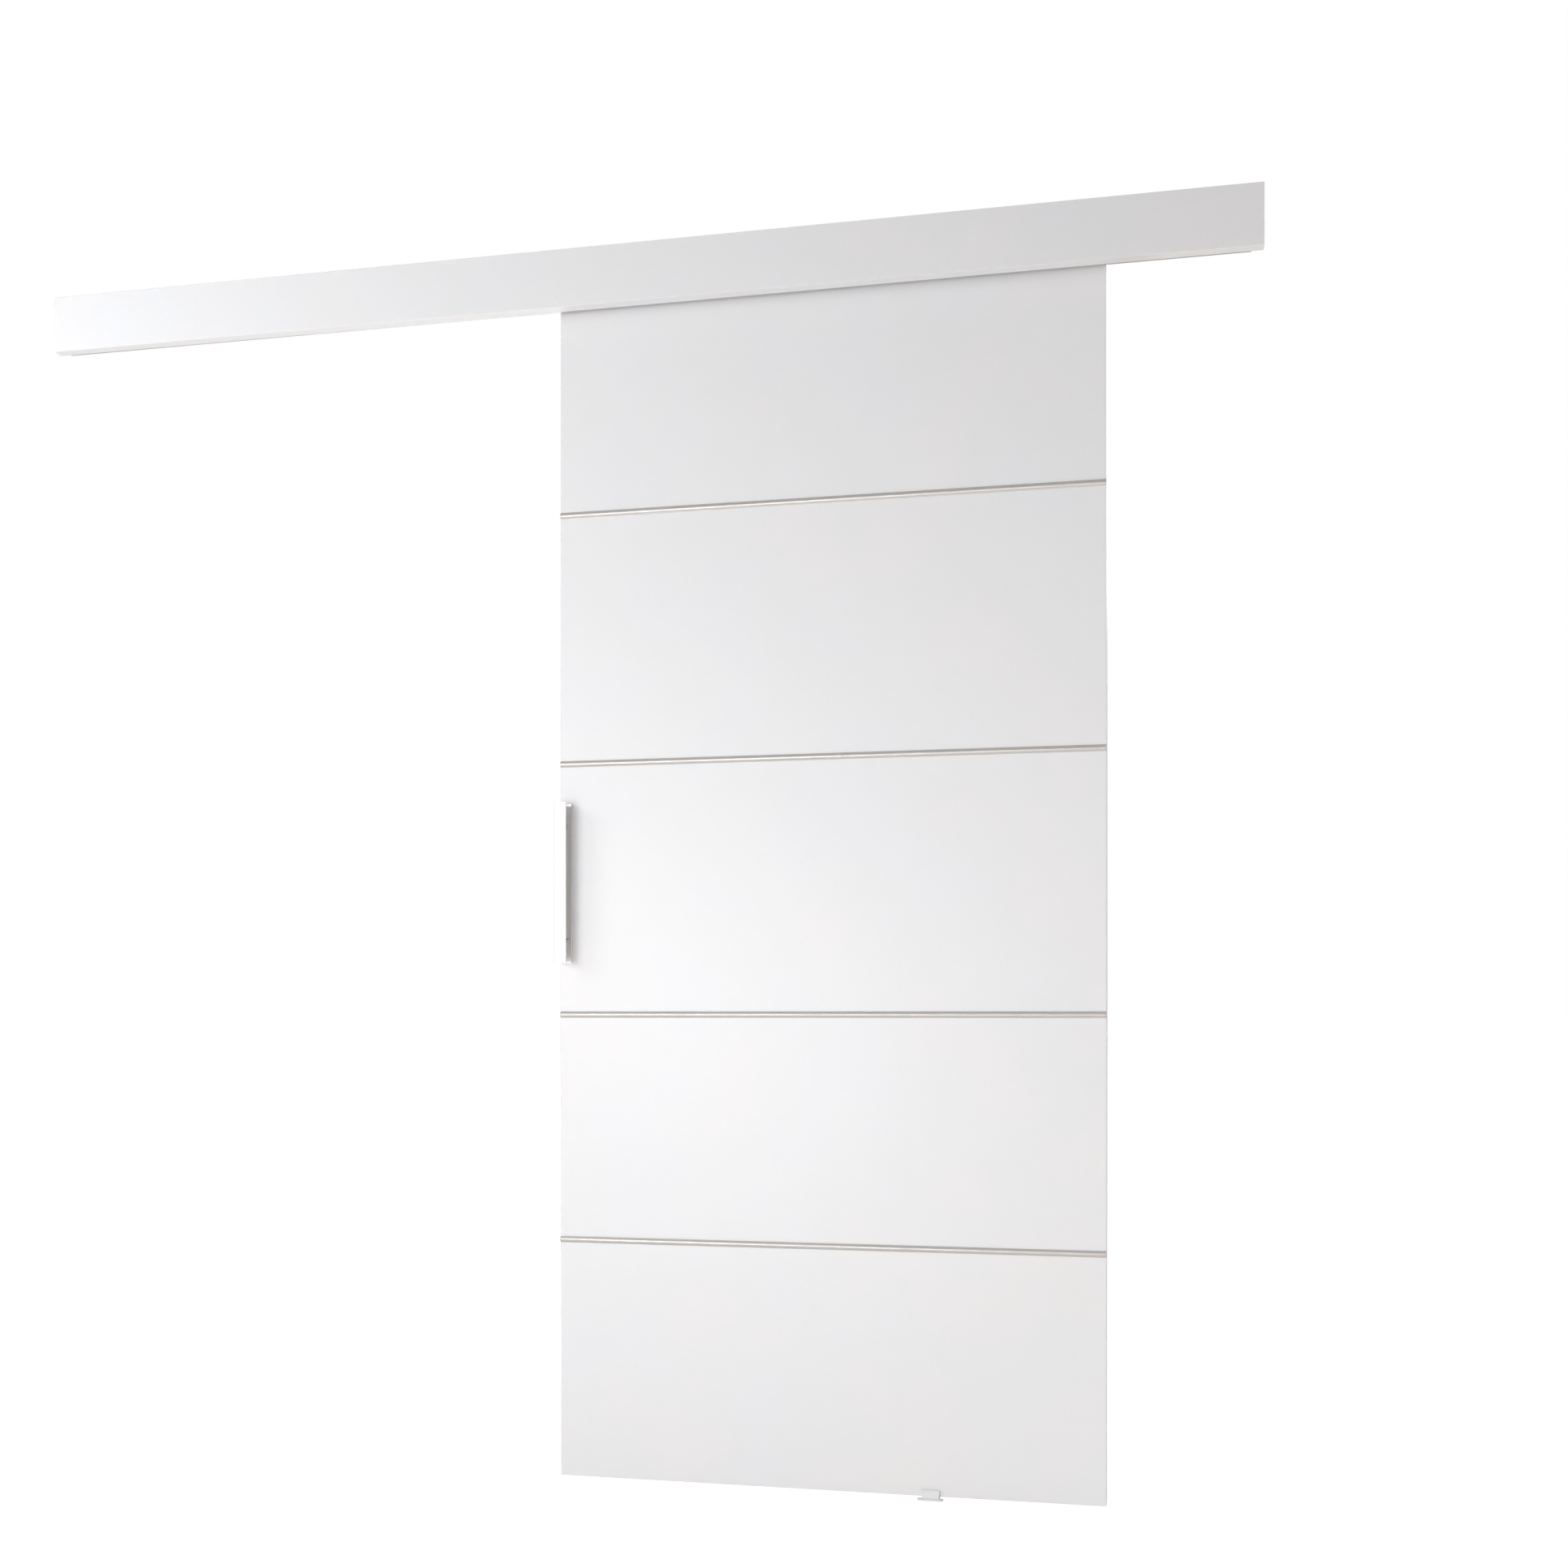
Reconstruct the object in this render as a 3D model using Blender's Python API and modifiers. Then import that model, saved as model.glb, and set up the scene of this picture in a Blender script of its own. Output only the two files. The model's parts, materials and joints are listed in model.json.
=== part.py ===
"""Wall-hung sliding door set: laminated leaf, hidden top track with trolleys, fascia board,
profile pull handle and floor guide.

Metres, +Z up. X runs along the wall, +Y points into the wall, so the front faces -Y.
The origin lies on the back of the wall profile, at mid length and at the height of the wall screws.
"""

import math

import bpy
import bmesh
from mathutils import Matrix, Vector

# ---------------------------------------------------------------- driving dimensions
MOUNT_HEIGHT = 2.163          # wall screws above the finished floor
FLOOR = -MOUNT_HEIGHT         # height of the finished floor in this frame
GAP = 0.0003                  # air between touching pieces

LEAF_WIDTH = 0.960
LEAF_HEIGHT = 2.100
LEAF_THICK = 0.040
LEAF_LEFT = -0.113            # left edge of the leaf at rest, from the middle of the track
FLOOR_CLEARANCE = 0.006
WALL_CLEARANCE = 0.012
SKIN = 0.006
STILE = 0.045
EDGING = 0.0012
SLAT = 0.004
CORE_COLUMNS = 5
CORE_ROWS = 12

STRIP_HEIGHTS = (0.4215, 0.8220, 1.2684, 1.7118)    # centre lines above the leaf's bottom
STRIP_HALF = 0.0055
STRIP_EDGE = 0.0012
STRIP_PROUD = 0.0040
STRIP_LEG = 0.0042
STRIP_LEG_HALF = 0.0010

FASCIA_LENGTH = 2.200
FASCIA_HEIGHT = 0.102
FASCIA_THICK = 0.022
FASCIA_BOTTOM = 2.074         # above the floor
FASCIA_AHEAD = 0.043          # fascia's front face ahead of the leaf's front face

TRACK_LENGTH = 2.160
PROFILE_WALL = 0.003
WEB_HEIGHT = 2.150            # underside of the wall profile's web, above the floor
WALL_LEG_LOW = 2.118
WALL_LEG_HIGH = 2.174

RAIL_WIDTH = 0.034
RAIL_DEPTH = 0.032
RAIL_WALL = 0.0025
RAIL_LIP = 0.003
RAIL_SLOT = 0.012

WHEEL_RADIUS = 0.011
WHEEL_WIDTH = 0.007
WHEEL_INNER_FACE = 0.0068     # from the rail's middle plane
AXLE_RADIUS = 0.0025
AXLE_SPACING = 0.050
TROLLEY_LENGTH = 0.076
TROLLEY_HEIGHT = 0.016
TROLLEY_HALF_WIDTH = 0.005
TROLLEY_TAPER = 0.0003        # the bar widens by this on each side towards its boss
BOSS_RADIUS = 0.009
TROLLEY_INSET = 0.110         # hanger bolt from the leaf's vertical edge
BOLT_RADIUS = 0.004
BOLT_TOP = 2.1384             # above the floor
BOLT_HEAD = 0.0053
PLATE = (0.080, 0.026, 0.004)
PLATE_SCREW_OFFSET = 0.032
POCKET = (0.062, 0.022, 0.010)
NUT_HEIGHT = 0.005
HEX_FLATS = 0.013

TRAVEL_LEFT = 0.960
TRAVEL_RIGHT = 0.226
STOP_SLACK = 0.001            # air left at the buffer when the leaf is at its limit
BUFFER_HEAD = 0.008
BUFFER_STEM = 0.010
STOP_LENGTH = 0.030

HANDLE_LOW = 0.914            # above the leaf's bottom
HANDLE_LENGTH = 0.283
HANDLE_WIDTH = 0.022
HANDLE_PROUD = 0.035
HANDLE_WALL = 0.0025
HANDLE_SCREW_INSET = 0.040

GUIDE_CENTRE = 0.551          # along the track
GUIDE_BASE = (0.044, 0.062, 0.003)
GUIDE_FLANGE = 0.0105         # depth of the wide part of the foot under each tab
GUIDE_WEB_HALF = 0.0143
GUIDE_TAB_WIDTH = 0.031
GUIDE_TAB_TOP = 0.0176        # above the floor
GUIDE_TAB_THICK = 0.003
GUIDE_TAB_FLARE = 0.0015
GUIDE_TAB_AIR = 0.001

WALL_SCREW_PLACES = (-0.96, -0.34, 0.34, 0.96)
RAIL_SCREW_PLACES = (-0.36, 0.36)
FASCIA_SCREW_PLACES = (-0.80, 0.0, 0.80)

ROUND_STEPS = 12
WHEEL_STEPS = 18

# ---------------------------------------------------------------- derived places
LEAF_BACK = -WALL_CLEARANCE
LEAF_FRONT = LEAF_BACK - LEAF_THICK
LEAF_MIDDLE = (LEAF_BACK + LEAF_FRONT) / 2
LEAF_RIGHT = LEAF_LEFT + LEAF_WIDTH
LEAF_BOTTOM = FLOOR + FLOOR_CLEARANCE
LEAF_TOP = LEAF_BOTTOM + LEAF_HEIGHT
FASCIA_FRONT = LEAF_FRONT - FASCIA_AHEAD
FASCIA_BACK = FASCIA_FRONT + FASCIA_THICK
RAIL_TOP = FLOOR + WEB_HEIGHT - GAP
RAIL_BOTTOM = RAIL_TOP - RAIL_DEPTH
AXLE_HEIGHT = RAIL_BOTTOM + RAIL_LIP + GAP + WHEEL_RADIUS
TROLLEY_PLACES = {
    "left": LEAF_LEFT + TROLLEY_INSET,
    "right": LEAF_RIGHT - TROLLEY_INSET,
}


# ---------------------------------------------------------------- scene and finishes
def clear_scene():
    for obj in list(bpy.data.objects):
        bpy.data.objects.remove(obj, do_unlink=True)


def collection(name):
    made = bpy.data.collections.new(name)
    bpy.context.scene.collection.children.link(made)
    return made


def finish(name, colour, roughness, metallic=0.0):
    made = bpy.data.materials.new(name)
    made.use_nodes = True
    shader = made.node_tree.nodes["Principled BSDF"]
    shader.inputs["Base Color"].default_value = (*colour, 1.0)
    shader.inputs["Roughness"].default_value = roughness
    shader.inputs["Metallic"].default_value = metallic
    return made


clear_scene()
PARTS = collection("sliding_door_set")
CUTTERS = collection("cutters")

LAMINATE = ((0.86, 0.86, 0.85), 0.45)
RAW_BOARD = ((0.55, 0.42, 0.28), 0.85)
PINE = ((0.72, 0.55, 0.36), 0.75)
ANODISED = ((0.70, 0.70, 0.69), 0.32, 0.9)
MILL_ALUMINIUM = ((0.55, 0.55, 0.55), 0.45, 0.9)
ZINC = ((0.62, 0.63, 0.66), 0.35, 0.9)
STEEL = ((0.50, 0.50, 0.52), 0.30, 0.95)
NYLON = ((0.88, 0.87, 0.83), 0.50)
RUBBER = ((0.04, 0.04, 0.04), 0.80)
WHITE_PLASTIC = ((0.85, 0.85, 0.84), 0.40)


# ---------------------------------------------------------------- shape helpers
TURN = {
    "x": Matrix(((0, 0, 1, 0), (1, 0, 0, 0), (0, 1, 0, 0), (0, 0, 0, 1))),
    "y": Matrix(((0, 1, 0, 0), (0, 0, 1, 0), (1, 0, 0, 0), (0, 0, 0, 1))),
    "z": Matrix.Identity(4),
}
HEAD = {
    "front": Matrix.Rotation(math.radians(90), 4, "X"),
    "back": Matrix.Rotation(math.radians(-90), 4, "X"),
    "up": Matrix.Identity(4),
    "down": Matrix.Rotation(math.radians(180), 4, "X"),
    "right": Matrix.Rotation(math.radians(90), 4, "Y"),
    "left": Matrix.Rotation(math.radians(-90), 4, "Y"),
}


def keep(name, mesh, matrix, look, parent):
    """Link a mesh as a part with its own material, under the empty of the body it moves with."""
    obj = bpy.data.objects.new(name, mesh)
    PARTS.objects.link(obj)
    mesh.materials.append(finish(name, *look))
    obj.parent = parent
    obj.matrix_parent_inverse = parent.matrix_world.inverted()
    obj.matrix_world = matrix
    return obj


def mesh_from(name, build):
    mesh = bpy.data.meshes.new(name)
    bm = bmesh.new()
    build(bm)
    bm.to_mesh(mesh)
    bm.free()
    return mesh


def box_into(bm, low, high):
    size = Vector(high) - Vector(low)
    middle = (Vector(high) + Vector(low)) / 2
    place = Matrix.Translation(middle) @ Matrix.Diagonal((*size, 1.0))
    bmesh.ops.create_cube(bm, size=1.0, matrix=place)


def rod_into(bm, centre, head, radius, length, segments=ROUND_STEPS):
    place = Matrix.Translation(Vector(centre)) @ HEAD[head]
    bmesh.ops.create_cone(
        bm, cap_ends=True, segments=segments, radius1=radius, radius2=radius, depth=length, matrix=place
    )


def block(name, low, high, look, parent):
    """A square-edged board between two corners, with its origin at its middle."""
    middle = (Vector(low) + Vector(high)) / 2
    corner = (Vector(high) - Vector(low)) / 2
    mesh = mesh_from(name, lambda bm: box_into(bm, -corner, corner))
    return keep(name, mesh, Matrix.Translation(middle), look, parent)


def arc(centre, radius, start, end, count):
    """Points on an arc, angles in degrees."""
    points = []
    for i in range(count + 1):
        angle = math.radians(start + (end - start) * i / count)
        points.append((centre[0] + radius * math.cos(angle), centre[1] + radius * math.sin(angle)))
    return points


def circle(centre, radius, count=ROUND_STEPS):
    return arc(centre, radius, 0, 360, count)[:-1]


def rectangle(centre, width, height):
    x = width / 2
    y = height / 2
    return [(centre[0] + a, centre[1] + b) for a, b in ((-x, -y), (x, -y), (x, y), (-x, y))]


def prism_mesh(name, loops, depth):
    """An outline with holes, drawn as a filled 2D curve and extruded along its local Z."""
    curve = bpy.data.curves.new(name, "CURVE")
    curve.dimensions = "2D"
    curve.fill_mode = "BOTH"
    curve.extrude = depth / 2
    for loop in loops:
        spline = curve.splines.new("POLY")
        spline.points.add(len(loop) - 1)
        spline.use_cyclic_u = True
        for point, (x, y) in zip(spline.points, loop):
            point.co = (x, y, 0.0, 1.0)
    drawn = bpy.data.objects.new(name + "_outline", curve)
    CUTTERS.objects.link(drawn)
    evaluated = drawn.evaluated_get(bpy.context.evaluated_depsgraph_get())
    mesh = bpy.data.meshes.new_from_object(evaluated)
    bpy.data.objects.remove(drawn)
    bm = bmesh.new()
    bm.from_mesh(mesh)
    bmesh.ops.remove_doubles(bm, verts=bm.verts, dist=0.00001)
    bmesh.ops.recalc_face_normals(bm, faces=bm.faces)
    bm.to_mesh(mesh)
    bm.free()
    mesh.materials.clear()
    return mesh


def prism(name, loops, depth, axis, centre, look, parent):
    """Axis x takes (y, z) outlines, axis y takes (z, x) and axis z takes (x, y)."""
    matrix = Matrix.Translation(Vector(centre)) @ TURN[axis]
    return keep(name, prism_mesh(name, loops, depth), matrix, look, parent)


def turned(name, profile, head, centre, look, parent, steps=ROUND_STEPS, closed=False):
    """A lathe shape: the profile is (radius, height) and runs down the outer side."""
    mesh = bpy.data.meshes.new(name)
    points = [(r, 0.0, h) for r, h in profile]
    edges = [(i, i + 1) for i in range(len(points) - 1)]
    if closed:
        edges.append((len(points) - 1, 0))
    mesh.from_pydata(points, edges, [])
    obj = keep(name, mesh, Matrix.Translation(Vector(centre)) @ HEAD[head], look, parent)
    screw = obj.modifiers.new("lathe", "SCREW")
    screw.steps = steps
    screw.render_steps = steps
    screw.use_merge_vertices = True
    screw.merge_threshold = 0.00001
    return obj


def cut(obj, name, build, operation="DIFFERENCE"):
    """Cut or join a part with one mesh of simple bodies, kept as its Boolean operand."""
    cutter = bpy.data.objects.new(name, mesh_from(name, build))
    CUTTERS.objects.link(cutter)
    cutter.hide_render = True
    cutter.display_type = "WIRE"
    modifier = obj.modifiers.new(name, "BOOLEAN")
    modifier.operation = operation
    modifier.solver = "EXACT"
    modifier.object = cutter
    return obj


def empty(name, place, parent=None):
    obj = bpy.data.objects.new(name, None)
    PARTS.objects.link(obj)
    obj.parent = parent
    if parent is not None:
        obj.matrix_parent_inverse = parent.matrix_world.inverted()
    obj.matrix_world = Matrix.Translation(Vector(place))
    bpy.context.view_layer.update()
    return obj


def pan_head_profile(head_radius, head_height, radius, length, tip):
    """A low domed head above z = 0 and a pointed shank below it."""
    return [
        (0.0, head_height),
        (head_radius * 0.55, head_height * 0.94),
        (head_radius * 0.90, head_height * 0.55),
        (head_radius, 0.0),
        (radius, 0.0),
        (radius, -(length - tip)),
        (0.0, -length),
    ]


def screw(name, centre, head, size, look, parent):
    """size is head radius, head height, shank radius, length and length of the tip."""
    return turned(name, pan_head_profile(*size), head, centre, look, parent)


# ---------------------------------------------------------------- fixed track
WALL_SCREW = (0.0055, 0.0028, 0.0025, 0.045, 0.008)
RAIL_SCREW = (0.0040, 0.0024, 0.0020, 0.0058, 0.0006)
FASCIA_SCREW = (0.0040, 0.0022, 0.0020, 0.019, 0.004)
STOP_SCREW = (0.0042, 0.0050, 0.0025, 0.0270, 0.0006)
HOLE_AIR = 0.0003
WALL_SCREW_LINE = 0.0                                   # height of the wall screws in this frame
FASCIA_SCREW_LINE = FLOOR + 2.112
STOP_HEIGHT = RAIL_DEPTH - RAIL_WALL - RAIL_LIP - 2 * GAP
STOP_LOW = RAIL_BOTTOM + RAIL_LIP + GAP
STOP_COUNTERBORE = 0.0085


def stop_places():
    """Middle of each end-stop block, and the way its buffer faces."""
    reach = TROLLEY_LENGTH / 2 + STOP_SLACK + BUFFER_HEAD + STOP_LENGTH / 2
    return {
        "left": (TROLLEY_PLACES["left"] - TRAVEL_LEFT - reach, 1),
        "right": (TROLLEY_PLACES["right"] + TRAVEL_RIGHT + reach, -1),
    }


def make_wall_profile(parent):
    front = FASCIA_BACK + GAP
    web = FLOOR + WEB_HEIGHT
    outline = [
        (0.0, FLOOR + WALL_LEG_LOW),
        (0.0, FLOOR + WALL_LEG_HIGH),
        (-PROFILE_WALL, FLOOR + WALL_LEG_HIGH),
        (-PROFILE_WALL, web + PROFILE_WALL),
        (front, web + PROFILE_WALL),
        (front, FLOOR + FASCIA_BOTTOM),
        (front + PROFILE_WALL, FLOOR + FASCIA_BOTTOM),
        (front + PROFILE_WALL, web),
        (-PROFILE_WALL, web),
        (-PROFILE_WALL, FLOOR + WALL_LEG_LOW),
    ]
    profile = prism("wall_profile", [outline], TRACK_LENGTH, "x", (0, 0, 0), MILL_ALUMINIUM, parent)

    def holes(bm):
        for x in WALL_SCREW_PLACES:
            rod_into(bm, (x, -PROFILE_WALL / 2, WALL_SCREW_LINE), "front", WALL_SCREW[2] + HOLE_AIR, 0.01)
        for x in RAIL_SCREW_PLACES:
            rod_into(bm, (x, LEAF_MIDDLE, web), "up", RAIL_SCREW[2] + HOLE_AIR, 0.02)
        for x, _ in stop_places().values():
            rod_into(bm, (x, LEAF_MIDDLE, web), "up", STOP_SCREW[2] + HOLE_AIR, 0.02)
        for x in FASCIA_SCREW_PLACES:
            centre = (x, front + PROFILE_WALL / 2, FASCIA_SCREW_LINE)
            rod_into(bm, centre, "front", FASCIA_SCREW[2] + HOLE_AIR, 0.01)

    cut(profile, "wall_profile_holes", holes)
    for i, x in enumerate(WALL_SCREW_PLACES, 1):
        centre = (x, -PROFILE_WALL - GAP, WALL_SCREW_LINE)
        screw(f"wall_screw_{i}", centre, "front", WALL_SCREW, STEEL, parent)


def make_running_rail(parent):
    half = RAIL_WIDTH / 2
    inner = half - RAIL_WALL
    slot = RAIL_SLOT / 2
    lip = RAIL_BOTTOM + RAIL_LIP
    roof = RAIL_TOP - RAIL_WALL
    outline = [
        (-slot, RAIL_BOTTOM), (-half, RAIL_BOTTOM), (-half, RAIL_TOP), (half, RAIL_TOP),
        (half, RAIL_BOTTOM), (slot, RAIL_BOTTOM), (slot, lip), (inner, lip),
        (inner, roof), (-inner, roof), (-inner, lip), (-slot, lip),
    ]
    rail = prism("running_rail", [outline], TRACK_LENGTH, "x", (0, LEAF_MIDDLE, 0), ANODISED, parent)

    def holes(bm):
        for x in RAIL_SCREW_PLACES:
            rod_into(bm, (x, LEAF_MIDDLE, RAIL_TOP), "up", RAIL_SCREW[2] + HOLE_AIR, 0.008)
        for x, _ in stop_places().values():
            rod_into(bm, (x, LEAF_MIDDLE, RAIL_TOP), "up", STOP_SCREW[2] + HOLE_AIR, 0.008)

    cut(rail, "running_rail_holes", holes)
    for i, x in enumerate(RAIL_SCREW_PLACES, 1):
        centre = (x, LEAF_MIDDLE, roof - GAP)
        screw(f"rail_screw_{i}", centre, "down", RAIL_SCREW, STEEL, parent)


def make_fascia(parent):
    low = (-FASCIA_LENGTH / 2, FASCIA_FRONT, FLOOR + FASCIA_BOTTOM)
    high = (FASCIA_LENGTH / 2, FASCIA_BACK, FLOOR + FASCIA_BOTTOM + FASCIA_HEIGHT)
    board = block("fascia_board", low, high, LAMINATE, parent)
    head_face = FASCIA_BACK + GAP + PROFILE_WALL + GAP
    pilot = 0.016

    def holes(bm):
        for x in FASCIA_SCREW_PLACES:
            centre = (x, FASCIA_BACK - pilot / 2 + 0.001, FASCIA_SCREW_LINE)
            rod_into(bm, centre, "front", FASCIA_SCREW[2] + HOLE_AIR, pilot + 0.002)

    cut(board, "fascia_pilot_holes", holes)
    for i, x in enumerate(FASCIA_SCREW_PLACES, 1):
        screw(f"fascia_screw_{i}", (x, head_face, FASCIA_SCREW_LINE), "back", FASCIA_SCREW, STEEL, parent)


def make_end_stop(side, place, facing, parent):
    """A clamped block with a rubber buffer on the side that the trolley comes from."""
    half_width = RAIL_WIDTH / 2 - RAIL_WALL - GAP
    low = (place - STOP_LENGTH / 2, LEAF_MIDDLE - half_width, STOP_LOW)
    high = (place + STOP_LENGTH / 2, LEAF_MIDDLE + half_width, STOP_LOW + STOP_HEIGHT)
    stop = block(f"stop_block_{side}", low, high, ZINC, parent)
    face = place + facing * STOP_LENGTH / 2
    seat = STOP_LOW + STOP_COUNTERBORE
    stem_radius = 0.0027

    foot = (place, LEAF_MIDDLE, STOP_LOW)

    def seats(bm):
        rod_into(bm, foot, "up", STOP_SCREW[0] + HOLE_AIR, 2 * STOP_COUNTERBORE)
        bore = 2 * (BUFFER_STEM + HOLE_AIR)
        rod_into(bm, (face, LEAF_MIDDLE, AXLE_HEIGHT), "right", stem_radius + HOLE_AIR, bore)

    cut(stop, f"stop_seats_{side}", seats)
    cut(stop, f"stop_hole_{side}", lambda bm: rod_into(bm, foot, "up", STOP_SCREW[2] + HOLE_AIR, 0.08))
    screw(f"stop_screw_{side}", (place, LEAF_MIDDLE, seat - GAP), "down", STOP_SCREW, STEEL, parent)
    profile = [
        (0.0, BUFFER_HEAD),
        (0.0045, BUFFER_HEAD * 0.96),
        (0.0068, BUFFER_HEAD * 0.70),
        (0.0072, GAP),
        (stem_radius, GAP),
        (stem_radius, -BUFFER_STEM),
        (0.0, -BUFFER_STEM),
    ]
    way = "right" if facing > 0 else "left"
    turned(f"stop_buffer_{side}", profile, way, (face, LEAF_MIDDLE, AXLE_HEIGHT), RUBBER, parent)


def make_floor_guide(parent):
    """A flat base, wide under its two flared tabs and narrow under the leaf that runs between them."""
    width, depth, thick = GUIDE_BASE
    corner = 0.004
    x = width / 2 - corner
    y = depth / 2 - corner
    half = width / 2
    web = GUIDE_WEB_HALF
    inner = depth / 2 - GUIDE_FLANGE
    root = inner - 0.0005
    outline = (
        arc((x, y), corner, 0, 90, 5) + arc((-x, y), corner, 90, 180, 5)
        + [(-half, inner), (-web, root), (-web, -root), (-half, -inner)]
        + arc((-x, -y), corner, 180, 270, 5) + arc((x, -y), corner, 270, 360, 5)
        + [(half, -inner), (web, -root), (web, root), (half, inner)]
    )
    centre = (GUIDE_CENTRE, LEAF_MIDDLE, FLOOR + thick / 2)
    guide = prism("floor_guide", [outline, circle((0, 0), 0.0023)], thick, "z", centre, WHITE_PLASTIC, parent)
    for side, face in (("front", LEAF_FRONT - GUIDE_TAB_AIR), ("rear", LEAF_BACK + GUIDE_TAB_AIR)):
        out = -1 if side == "front" else 1
        straight = GUIDE_TAB_TOP * 0.72
        tab = [
            (face, 0.001),
            (face + out * GUIDE_TAB_THICK, 0.001),
            (face + out * GUIDE_TAB_THICK, straight),
            (face + out * (GUIDE_TAB_THICK + GUIDE_TAB_FLARE * 0.6), GUIDE_TAB_TOP),
            (face + out * GUIDE_TAB_FLARE, GUIDE_TAB_TOP),
            (face, straight),
        ]
        mesh = prism_mesh(f"guide_tab_{side}", [tab], GUIDE_TAB_WIDTH)
        mesh.transform(Matrix.Translation((GUIDE_CENTRE, 0, FLOOR)) @ TURN["x"])
        cut(guide, f"guide_tab_{side}", lambda bm, made=mesh: bm.from_mesh(made), "UNION")
    size = (0.0040, 0.0020, 0.0020, 0.022, 0.004)
    centre = (GUIDE_CENTRE, LEAF_MIDDLE, FLOOR + thick + GAP)
    screw("guide_screw", centre, "up", size, STEEL, parent)


# ---------------------------------------------------------------- leaf
HANDLE_SCREW = (0.0040, 0.0024, 0.0020, 0.024, 0.004)
PLATE_SCREW = (0.0042, 0.0018, 0.0022, 0.030, 0.005)


def handle_screw_heights():
    low = LEAF_BOTTOM + HANDLE_LOW
    return (low + HANDLE_SCREW_INSET, low + HANDLE_LENGTH - HANDLE_SCREW_INSET)


def plate_screw_places():
    return [x + side * PLATE_SCREW_OFFSET for x in TROLLEY_PLACES.values() for side in (-1, 1)]


def make_skins(parent):
    left = LEAF_LEFT + EDGING + GAP
    right = LEAF_RIGHT - EDGING - GAP
    front_low = (left, LEAF_FRONT, LEAF_BOTTOM)
    front_high = (right, LEAF_FRONT + SKIN, LEAF_TOP)
    front = block("leaf_front_skin", front_low, front_high, LAMINATE, parent)
    groove = STRIP_LEG_HALF + GAP
    screw_x = LEAF_LEFT + HANDLE_WIDTH / 2 + HANDLE_WALL / 2

    def grooves(bm):
        for height in STRIP_HEIGHTS:
            z = LEAF_BOTTOM + height
            low = (left - 0.01, LEAF_FRONT - 0.01, z - groove)
            high = (right + 0.01, LEAF_FRONT + STRIP_LEG + 2 * GAP, z + groove)
            box_into(bm, low, high)
        for z in handle_screw_heights():
            rod_into(bm, (screw_x, LEAF_FRONT + SKIN / 2, z), "front", HANDLE_SCREW[2] + HOLE_AIR, 0.02)

    cut(front, "front_skin_grooves", grooves)
    rear_low = (left, LEAF_BACK - SKIN, LEAF_BOTTOM)
    block("leaf_rear_skin", rear_low, (right, LEAF_BACK, LEAF_TOP), LAMINATE, parent)
    for side, low_x in (("left", LEAF_LEFT), ("right", LEAF_RIGHT - EDGING)):
        low = (low_x, LEAF_FRONT, LEAF_BOTTOM)
        high = (low_x + EDGING, LEAF_BACK, LEAF_TOP)
        edging = block(f"leaf_{side}_edging", low, high, LAMINATE, parent)

        def notches(bm, x=low_x):
            for height in STRIP_HEIGHTS:
                z = LEAF_BOTTOM + height
                corner = (x - 0.01, LEAF_FRONT - 0.01, z - groove)
                box_into(bm, corner, (x + 0.02, LEAF_FRONT + STRIP_LEG + 2 * GAP, z + groove))

        cut(edging, f"{side}_edging_notches", notches)


def make_frame(parent):
    """Stiles, rails and a grid of slats between the skins."""
    near = LEAF_FRONT + SKIN + GAP
    far = LEAF_BACK - SKIN - GAP
    left = LEAF_LEFT + EDGING + GAP
    right = LEAF_RIGHT - EDGING - GAP
    stile_low = (left, near, LEAF_BOTTOM)
    stile = block("leaf_left_stile", stile_low, (left + STILE, far, LEAF_TOP), PINE, parent)
    screw_x = LEAF_LEFT + HANDLE_WIDTH / 2 + HANDLE_WALL / 2

    def pilots(bm):
        for z in handle_screw_heights():
            rod_into(bm, (screw_x, near + 0.008, z), "front", HANDLE_SCREW[2] + HOLE_AIR, 0.020)

    cut(stile, "handle_pilot_holes", pilots)
    block("leaf_right_stile", (right - STILE, near, LEAF_BOTTOM), (right, far, LEAF_TOP), PINE, parent)
    inner_left = left + STILE + GAP
    inner_right = right - STILE - GAP
    top = block(
        "leaf_top_rail", (inner_left, near, LEAF_TOP - STILE), (inner_right, far, LEAF_TOP), PINE, parent
    )
    bottom_high = (inner_right, far, LEAF_BOTTOM + STILE)
    block("leaf_bottom_rail", (inner_left, near, LEAF_BOTTOM), bottom_high, PINE, parent)

    def pockets(bm):
        for x in TROLLEY_PLACES.values():
            low = (x - POCKET[0] / 2 + 0.004, LEAF_MIDDLE - POCKET[1] / 2, LEAF_TOP - POCKET[2])
            high = (x + POCKET[0] / 2 - 0.004, LEAF_MIDDLE + POCKET[1] / 2, LEAF_TOP + 0.01)
            box_into(bm, low, high)
        for x in plate_screw_places():
            rod_into(bm, (x, LEAF_MIDDLE, LEAF_TOP), "up", PLATE_SCREW[2] + HOLE_AIR, 0.056)

    cut(top, "top_rail_pockets", pockets)
    width = inner_right - inner_left
    height = LEAF_HEIGHT - 2 * STILE - 2 * GAP
    middle = LEAF_BOTTOM + LEAF_HEIGHT / 2
    cell_x = (width - SLAT) / CORE_COLUMNS - SLAT
    cell_z = (height - SLAT) / CORE_ROWS - SLAT
    loops = [rectangle((0, 0), height, width)]
    for column in range(CORE_COLUMNS):
        for row in range(CORE_ROWS):
            x = -width / 2 + SLAT + cell_x / 2 + column * (cell_x + SLAT)
            z = -height / 2 + SLAT + cell_z / 2 + row * (cell_z + SLAT)
            loops.append(rectangle((z, x), cell_z, cell_x))
    centre = ((inner_left + inner_right) / 2, LEAF_MIDDLE, middle)
    prism("leaf_core_grid", loops, far - near, "y", centre, RAW_BOARD, parent)


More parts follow.
